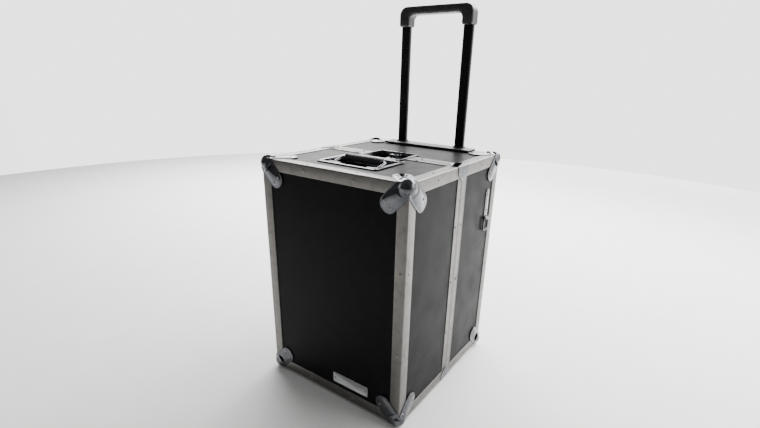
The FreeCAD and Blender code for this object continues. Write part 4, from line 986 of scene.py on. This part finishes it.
def make_latch(word, sign):
    face = TOP if sign > 0 else BOTTOM
    out = Z * sign
    spin_low, spin_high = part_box(f"latch_spindle_{word}")
    spindle = (spin_low + spin_high) / 2
    halves = ((f"latch_dish_{word}", "case_body", 1), (f"latch_keeper_{word}", "cover", -1))
    for node, body, away in halves:
        low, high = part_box(node)
        recess = high.z - low.z - 1.2 * MM
        bm = bmesh.new()
        start = low.y if away > 0 else high.y
        half = half_dish(high.x - low.x, high.y - low.y, 8 * MM, 7 * MM, recess)
        turn = facing((0, start, face), X * away * sign, out)
        merge(bm, half, turn)
        if body == "cover":
            keeper = cuboid((-11 * MM, -2.5 * MM, -recess + 0.6 * MM), (11 * MM, 2.5 * MM, -12.3 * MM),
                            0.8 * MM, 3)
            merge(bm, keeper, facing((0, start - 10 * MM, face), X * sign, out))
        edge_y = start + away * ((high.y - low.y) - 5 * MM)
        for side in (-1, 1):
            seat = Vector((side * ((high.x - low.x) / 2 - 5 * MM), edge_y, face + sign * 1.2 * MM))
            merge(bm, rivet_head(3.0 * MM, 1.3 * MM), turn_to(out, seat), 1)
        make_piece(f"{node}_pressing", bm, body, [node], [CHROME, RIVET])

    # Spindle: turned foot and neck, and a pressed fork that holds the key.
    place = Vector((0, spindle.y, face))
    bm = bmesh.new()
    foot_profile = [(0, -14.5), (10, -14.5), (11.5, -13.7), (11.5, -12.2), (10.8, -11.4), (5, -11.4),
                    (5, -7.0), (0, -7.0)]
    foot = spun([(r * MM, h * MM) for r, h in foot_profile], 32)
    merge(bm, foot, facing(place, X, out))
    fork = cuboid((-11 * MM, -4 * MM, -8 * MM), (11 * MM, 4 * MM, -6 * MM), 0.5 * MM)
    merge(bm, fork, facing(place, X, out))
    ear_half = 1.2 * MM
    for side in (-1, 1):
        ear_x = side * 9.75 * MM
        ear = cuboid((ear_x - ear_half, -3 * MM, -7.5 * MM), (ear_x + ear_half, 3 * MM, -1.4 * MM),
                     0.7 * MM, 3)
        merge(bm, ear, facing(place, X, out))
    make_piece(f"latch_spindle_{word}_turned", bm, f"latch_spindle_{word}",
               [f"latch_spindle_{word}"], [CHROME])

    # Key: a D-shaped flap with a rolled barrel and a pressed thumb hollow.
    bm = bmesh.new()
    thick = 1.8 * MM
    flap = polygon([(-8 * MM, 0.2 * MM), (8 * MM, 0.2 * MM), (8 * MM, 4.5 * MM), (14 * MM, 4.5 * MM),
                    (14 * MM, 18.5 * MM), (-14 * MM, 18.5 * MM), (-14 * MM, 4.5 * MM), (-8 * MM, 4.5 * MM)])
    round_corners(flap, 6.8 * MM, 8, lambda p: p.y > 18 * MM)
    round_corners(flap, 1.5 * MM, 3, lambda p: abs(p.x) > 13.9 * MM and p.y < 5 * MM)
    crown = rise(flap, flap.faces[:], (0, 0, thick))
    bmesh.ops.inset_region(flap, faces=crown, thickness=2.2 * MM, depth=0)
    step(flap, crown, 0.8 * MM, (0, 0, -0.6 * MM))
    depth_of_hinge = 3.6 * MM
    key_place = place - out * (depth_of_hinge + thick / 2)
    merge(bm, flap, facing(key_place, X * sign, out))
    barrel = rod(1.8 * MM, 16.4 * MM, 0.4 * MM, 20)
    merge(bm, barrel, turn_to(X, place - out * depth_of_hinge - X * 8.2 * MM))
    pins = rod(1.2 * MM, 22 * MM, 0.3 * MM, 16)
    merge(bm, pins, turn_to(X, place - out * depth_of_hinge - X * 11 * MM))
    make_piece(f"latch_key_{word}_pressed", bm, f"latch_key_{word}",
               [f"latch_key_{word}"], [CHROME])


# ---------------------------------------------------------------- trolley handle


def rounded_tube(low, high, corner, wall):
    """A rectangular tube with rounded corners, hollow from end to end."""
    size = high - low
    middle = (low + high) / 2
    bm = bmesh.new()
    outer = polygon([(-size.x / 2, -size.y / 2), (size.x / 2, -size.y / 2),
                     (size.x / 2, size.y / 2), (-size.x / 2, size.y / 2)])
    round_corners(outer, corner, 6)
    hollow_out(outer, wall)
    rise(outer, outer.faces[:], (0, 0, size.z))
    merge(bm, outer, Matrix.Translation((middle.x, middle.y, low.z)))
    return bm


def make_trolley():
    for word in ("left", "right"):
        low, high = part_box(f"trolley_tube_{word}")
        make_piece(f"trolley_tube_{word}_drawn", rounded_tube(low, high, 4.5 * MM, 1.5 * MM),
                   "trolley_handle", [f"trolley_tube_{word}"], [TUBE])
        low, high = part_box(f"trolley_guide_{word}")
        make_piece(f"trolley_guide_{word}_drawn", rounded_tube(low, high, 3 * MM, 1.5 * MM),
                   "case_body", [f"trolley_guide_{word}"], [MILL])
    make_grip()
    make_bezel()


def cut_pocket(bm, button_low, button_high, top):
    """Sinks a stepped pocket for the button into the flat top of the grip."""
    gap = 0.4 * MM
    lip = 2.4 * MM
    lip_depth = 0.8 * MM
    depth = 15 * MM
    centre = (button_low + button_high) / 2
    half_x = (button_high.x - button_low.x) / 2 + gap + lip
    half_y = (button_high.y - button_low.y) / 2 + gap + lip
    planes = [(X, centre.x - half_x), (X, centre.x + half_x),
              (Y, centre.y - half_y), (Y, centre.y + half_y)]
    for normal, offset in planes:
        bmesh.ops.bisect_plane(bm, geom=bm.verts[:] + bm.edges[:] + bm.faces[:],
                               plane_co=normal * offset, plane_no=normal)

    def opening():
        return [f for f in bm.faces if f.normal.z > 0.9 and f.calc_center_median().z > top - 1.5 * MM
                and abs(f.calc_center_median().x - centre.x) < half_x
                and abs(f.calc_center_median().y - centre.y) < half_y]

    bm.normal_update()
    floor = opening()
    step(bm, floor, 0.2 * MM, (0, 0, -lip_depth))
    bmesh.ops.inset_region(bm, faces=floor, thickness=lip - 0.4 * MM, depth=0)
    step(bm, floor, 0.2 * MM, (0, 0, lip_depth - depth))
    walls = {e for f in floor for v in f.verts for e in v.link_edges
             if abs(e.verts[0].co.z - e.verts[1].co.z) > 5 * MM}
    round_edges(bm, list(walls), 6.4 * MM, 6)


def make_grip():
    """Soft-cornered arch: crossbar and legs in one moulding; its split along the middle plane is not drawn.
    """
    low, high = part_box("trolley_grip")
    half = (high.x - low.x) / 2
    leg = 28 * MM
    thickness = 18 * MM
    depth = high.y - low.y
    arch = high.z - thickness
    arm = half - leg
    bm = polygon([(-half, low.z), (-half, high.z), (half, high.z), (half, low.z), (arm, low.z),
                  (arm, arch), (-arm, arch), (-arm, low.z)])
    round_corners(bm, 20 * MM, 8, lambda p: p.y > high.z - MM)
    round_corners(bm, 13 * MM, 8, lambda p: abs(p.y - arch) < MM)
    rise(bm, bm.faces[:], (0, 0, depth))
    round_edges(bm, sharp_edges(bm), 5.5 * MM, 4)
    turn = Matrix((X, Z, -Y)).transposed().to_4x4()
    shape = bmesh.new()
    merge(shape, bm, Matrix.Translation((0, high.y, 0)) @ turn)
    bm = shape
    button_low, button_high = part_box("release_button")
    cut_pocket(bm, button_low, button_high, high.z)
    make_piece("trolley_grip_moulding", bm, "trolley_handle", ["trolley_grip"],
               [ABS], 40)

    size = button_high - button_low
    button = rectangle(size.x, size.y)
    round_corners(button, 6.5 * MM, 8)
    rise(button, button.faces[:], (0, 0, size.z))
    rim = [e for e in sharp_edges(button) if min(v.co.z for v in e.verts) > size.z / 2]
    round_edges(button, rim, 1.2 * MM, 3)
    centre = (button_low + button_high) / 2
    bmesh.ops.translate(button, vec=(centre.x, centre.y, button_low.z), verts=button.verts)
    for i in range(-2, 3):
        x = i * 5 * MM
        rib = cuboid((x - 0.6 * MM, centre.y - 4 * MM, button_high.z - 0.5 * MM),
                     (x + 0.6 * MM, centre.y + 4 * MM, button_high.z), 0.2 * MM, 1)
        merge(button, rib)
    make_piece("release_button_cap", button, "release_button", ["release_button"],
               [ABS], 40)


def make_bezel():
    """Moulded cap over the rear top edge: rounded nose, tube collars and a skirt with screws."""
    low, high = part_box("trolley_bezel")
    bm = bmesh.new()
    half = high.x
    top_z = high.z
    profile = polygon([(low.y, TOP), (low.y, top_z), (high.y, top_z), (high.y, low.z), (BACK, low.z),
                       (BACK, TOP)])
    round_corners(profile, 2.6 * MM, 5, lambda p: p.x < low.y + MM and p.y > top_z - MM)
    round_corners(profile, 4.5 * MM, 6, lambda p: p.x > high.y - MM and p.y > top_z - MM)
    rise(profile, profile.faces[:], (0, 0, 2 * half))
    ends = [e for e in sharp_edges(profile) if abs(e.verts[0].co.z - e.verts[1].co.z) < 0.001 * MM]
    round_edges(profile, ends, 1.6 * MM, 3)
    turn = Matrix((Y, Z, X)).transposed().to_4x4()
    merge(bm, profile, Matrix.Translation((-half, 0, 0)) @ turn)
    for word in ("left", "right"):
        tube_low, tube_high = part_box(f"trolley_tube_{word}")
        middle = (tube_low + tube_high) / 2
        tube = tube_high - tube_low
        outer = rectangle(tube.x + 7 * MM, tube.y + 7 * MM)
        round_corners(outer, 7.5 * MM, 6)
        hollow_out(outer, 3.1 * MM)
        rise(outer, outer.faces[:], (0, 0, 3.2 * MM))
        round_edges(outer, sharp_edges(outer), 0.5 * MM, 2)
        merge(bm, outer, Matrix.Translation((middle.x, middle.y, top_z - 0.4 * MM)))
    make_piece("trolley_bezel_moulding", bm, "case_body", ["trolley_bezel"], [ABS], 35)


# ---------------------------------------------------------------- wheels


def make_wheels():
    for word in ("left", "right"):
        low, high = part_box(f"wheel_tyre_{word}")
        middle = (low + high) / 2
        radius = (high.z - low.z) / 2
        half = (high.x - low.x) / 2
        tread = [(22 * MM, -half)]
        tread += [(radius - 4 * MM + 4 * MM * sin(a), -half + 4 * MM - 4 * MM * cos(a))
                  for a in (0, pi / 8, pi / 4, 3 * pi / 8, pi / 2)]
        tread += [(radius - 0.6 * MM, -0.5 * MM), (radius - 0.6 * MM, 0.5 * MM)]
        tread += [(radius - 4 * MM + 4 * MM * sin(a), half - 4 * MM + 4 * MM * cos(a))
                  for a in (pi / 2, 3 * pi / 8, pi / 4, pi / 8, 0)]
        tread += [(22 * MM, half), (22 * MM, -half)]
        bm = spun(tread, 64)
        bmesh.ops.transform(bm, matrix=turn_to(X, middle), verts=bm.verts)
        make_piece(f"wheel_tyre_{word}_cast", bm, f"wheel_{word}",
                   [f"wheel_tyre_{word}"], [TYRE])

        # Hub: rim and boss joined by a thin web with spokes either side.
        bm = spun([(r * MM, h * MM) for r, h in (
            (18.5, -11.6), (19.5, -12), (21.9, -12), (21.9, 12), (19.5, 12), (18.5, 11.6), (18.5, 2),
            (9, 2), (9, 12.6), (8.4, 13), (4.1, 13), (4.1, -13), (8.4, -13), (9, -12.6), (9, -2),
            (18.5, -2), (18.5, -11.6))], 48)
        for i in range(6):
            spoke = cuboid((8 * MM, -1.3 * MM, -9 * MM), (19 * MM, 1.3 * MM, 9 * MM), 0.6 * MM, 2)
            merge(bm, spoke, Matrix.Rotation(i * pi / 3, 4, "Z"))
        bmesh.ops.transform(bm, matrix=turn_to(X, middle), verts=bm.verts)
        make_piece(f"wheel_hub_{word}_moulded", bm, f"wheel_{word}",
                   [f"wheel_hub_{word}"], [NYLON])


# ---------------------------------------------------------------- name plate, strap and ring


def make_name_plate():
    """A blank plate: brushed sheet with a pressed border and a rivet at each end."""
    low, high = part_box("name_plate")
    middle = (low + high) / 2
    width, height = high.x - low.x, high.z - low.z
    bm = polygon([(-width / 2, -height / 2), (width / 2, -height / 2), (width / 2, height / 2),
                  (-width / 2, height / 2)])
    round_corners(bm, 3 * MM, 6)
    crown = rise(bm, bm.faces[:], (0, 0, 0.7 * MM))
    bmesh.ops.inset_region(bm, faces=crown, thickness=2.0 * MM, depth=0)
    step(bm, crown, 0.5 * MM, (0, 0, -0.3 * MM))
    plate = bmesh.new()
    place = facing((middle.x, high.y, middle.z), X, -Y)
    merge(plate, bm, place)
    for side in (-1, 1):
        seat = place @ Vector((side * (width / 2 - 6 * MM), 0, 0.45 * MM))
        merge(plate, rivet_head(1.8 * MM, 0.55 * MM), turn_to(-Y, seat), 1)
    make_piece("name_plate_blank", plate, "cover", ["name_plate"], [PLATE, RIVET])


def make_strap_and_ring():
    low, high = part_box("side_strap")
    ring_low, ring_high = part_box("side_ring")
    hinge = Vector(((ring_low.x + ring_high.x) / 2, (low.y + high.y) / 2, ring_high.z - 2.2 * MM))
    width = high.y - low.y
    surface = low.x
    length = high.z - hinge.z
    bm = polygon([(-width / 2, 3.5 * MM), (width / 2, 3.5 * MM), (width / 2, length), (-width / 2, length)])
    round_corners(bm, width / 2 - 0.5 * MM, 8, lambda p: p.y > length - MM)
    crown = rise(bm, bm.faces[:], (0, 0, 1.6 * MM))
    bmesh.ops.inset_region(bm, faces=crown, thickness=3.4 * MM, depth=0)
    step(bm, crown, 0.9 * MM, (0, 0, 0.4 * MM))
    turn = Matrix((Y, Z, X)).transposed().to_4x4()
    plate = bmesh.new()
    merge(plate, bm, Matrix.Translation((surface, hinge.y, hinge.z)) @ turn)
    eye = collar(2.3 * MM, 4.1 * MM, width / 2, 28)
    merge(plate, eye, turn_to(Y, hinge))
    for along in (0.28, 0.8):
        seat = Vector((surface + 1.8 * MM, hinge.y, hinge.z + length * along))
        merge(plate, rivet_head(3.4 * MM, 1.6 * MM), turn_to(X, seat), 1)
    make_piece("side_strap_pressed", plate, "case_body", ["side_strap"], [CHROME, RIVET])

    wire = 2.2 * MM
    reach = (ring_high.y - ring_low.y) / 2 - wire
    low_z = ring_low.z + wire
    bend = 6 * MM
    tight = 2.5 * MM
    top = hinge.z
    path = []
    path += arc(Vector((hinge.x, hinge.y + reach - tight, top - tight)), tight, pi / 2, 0, 4, Y, Z)
    path += arc(Vector((hinge.x, hinge.y + reach - bend, low_z + bend)), bend, 0, -pi / 2, 6, Y, Z)
    path += arc(Vector((hinge.x, hinge.y - reach + bend, low_z + bend)), bend, -pi / 2, -pi, 6, Y, Z)
    path += arc(Vector((hinge.x, hinge.y - reach + tight, top - tight)), tight, pi, pi / 2, 4, Y, Z)
    make_piece("side_ring_bent", swept(path, wire, 14, True), "side_ring", ["side_ring"],
               [CHROME], 60)


# ---------------------------------------------------------------- finishes of the CAD nodes that stay


def dress(material, *nodes):
    for name in nodes:
        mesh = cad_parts[name].data
        mesh.materials.clear()
        mesh.materials.append(material)


def soften(width, *nodes):
    """Breaks the sharp edges of CAD nodes that stay as they are."""
    for name in nodes:
        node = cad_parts[name]
        bevel = node.modifiers.new("softened_edges", "BEVEL")
        bevel.width = width
        bevel.segments = 2
        bevel.limit_method = "ANGLE"
        bevel.angle_limit = radians(50)


def make_screws():
    """Pan-head screws through the wheel housings' flanges and the trolley cap's skirt."""
    bm = bmesh.new()
    for word in ("left", "right"):
        low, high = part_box(f"wheel_housing_{word}")
        for x in (low.x + 4 * MM, high.x - 4 * MM):
            for z in (low.z + 6 * MM, high.z - 5 * MM):
                merge(bm, screw_head(2.9 * MM, 1.5 * MM), turn_to(Y, (x, high.y, z)))
    low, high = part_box("trolley_bezel")
    for x in (low.x + 9 * MM, 0, high.x - 9 * MM):
        merge(bm, screw_head(3.4 * MM, 1.7 * MM), turn_to(Y, (x, high.y, low.z + 10 * MM)))
    make_piece("rear_fitting_screws", bm, "case_body", [], [ZINC])


def screw_head(radius, height):
    """A pan head with a cross recess."""
    bm = spun([(0, -0.3 * MM), (radius, -0.3 * MM), (radius, height * 0.45), (radius * 0.8, height * 0.85),
               (radius * 0.5, height), (radius * 0.45, height), (radius * 0.3, height * 0.35),
               (0, height * 0.3)], 20)
    return bm


def dress_nodes():
    dress(LAMINATE, *[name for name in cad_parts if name.endswith("_panel")])
    dress(POWDER, "rack_rail_upper", "rack_rail_lower")
    dress(ZINC, "trolley_foot_bracket", "wheel_axles", "lock_pin_left", "lock_pin_right",
          "latch_hook_top", "latch_hook_bottom")
    dress(ABS, "trolley_lock_blocks", "wheel_housing_left", "wheel_housing_right")
    soften(1.2 * MM, "wheel_housing_left", "wheel_housing_right", "trolley_lock_blocks")
    soften(0.7 * MM, "latch_hook_top", "latch_hook_bottom", "trolley_foot_bracket")


# ---------------------------------------------------------------- stage


def make_stage():
    bm = bmesh.new()
    bmesh.ops.create_circle(bm, cap_ends=True, segments=128, radius=FLOOR_RADIUS)
    mesh = bpy.data.meshes.new("floor")
    bm.to_mesh(mesh)
    bm.free()
    mesh.materials.append(studio_paper())
    floor = bpy.data.objects.new("floor", mesh)
    bpy.context.collection.objects.link(floor)

    world = bpy.data.worlds.new("studio")
    bpy.context.scene.world = world
    world.use_nodes = True
    tree = world.node_tree
    tree.nodes.clear()
    # A bright backdrop along the far horizon, a dim ceiling and a dark room in front of the case.
    direction = add(tree, "ShaderNodeTexCoord", output="Generated")
    _, north, up = add(tree, "ShaderNodeSeparateXYZ", {0: direction}).node.outputs
    backdrop = add(tree, "ShaderNodeMapRange", {
        "Value": north, "From Min": -0.5, "From Max": 0.3, "To Min": DARK_ROOM, "To Max": BACKDROP})
    ceiling = add(tree, "ShaderNodeMapRange", {
        "Value": north, "From Min": -0.8, "From Max": 0.5, "To Min": DARK_ROOM, "To Max": CEILING})
    overhead = add(tree, "ShaderNodeMapRange", {
        "Value": up, "From Min": 0.15, "From Max": 0.45, "To Min": 0, "To Max": 1})
    strength = add(tree, "ShaderNodeMix", {0: overhead, 2: backdrop, 3: ceiling})
    light = add(tree, "ShaderNodeBackground", {"Color": (1, 1, 1, 1), "Strength": strength})
    add(tree, "ShaderNodeOutputWorld", {"Surface": light})


make_camera()
make_stage()
make_area_light("back_softbox", (0.3, 1.9, 1.9), (0.1, 1.0, 0), (3.0, 1.4), 62, (1, 1, 1))
make_area_light("far_softbox", (0, 5.0, 3.0), (0, 3.5, 0), (8.0, 3.0), 420, (1, 1, 1))
make_area_light("right_softbox", (2.4, 0.9, 1.5), (1.0, 0.5, 0), (1.6, 1.6), 13, (1, 0.99, 0.98))
make_area_light("left_softbox", (-2.2, 1.5, 1.8), (-1.4, 0.5, 0), (1.8, 1.4), 42, (1, 1, 1))

make_edges()
make_seam()
make_braces()
make_rivets()
make_corners()
make_carry_handle()
make_latch("top", 1)
make_latch("bottom", -1)
make_trolley()
make_wheels()
make_name_plate()
make_strap_and_ring()
make_screws()
dress_nodes()
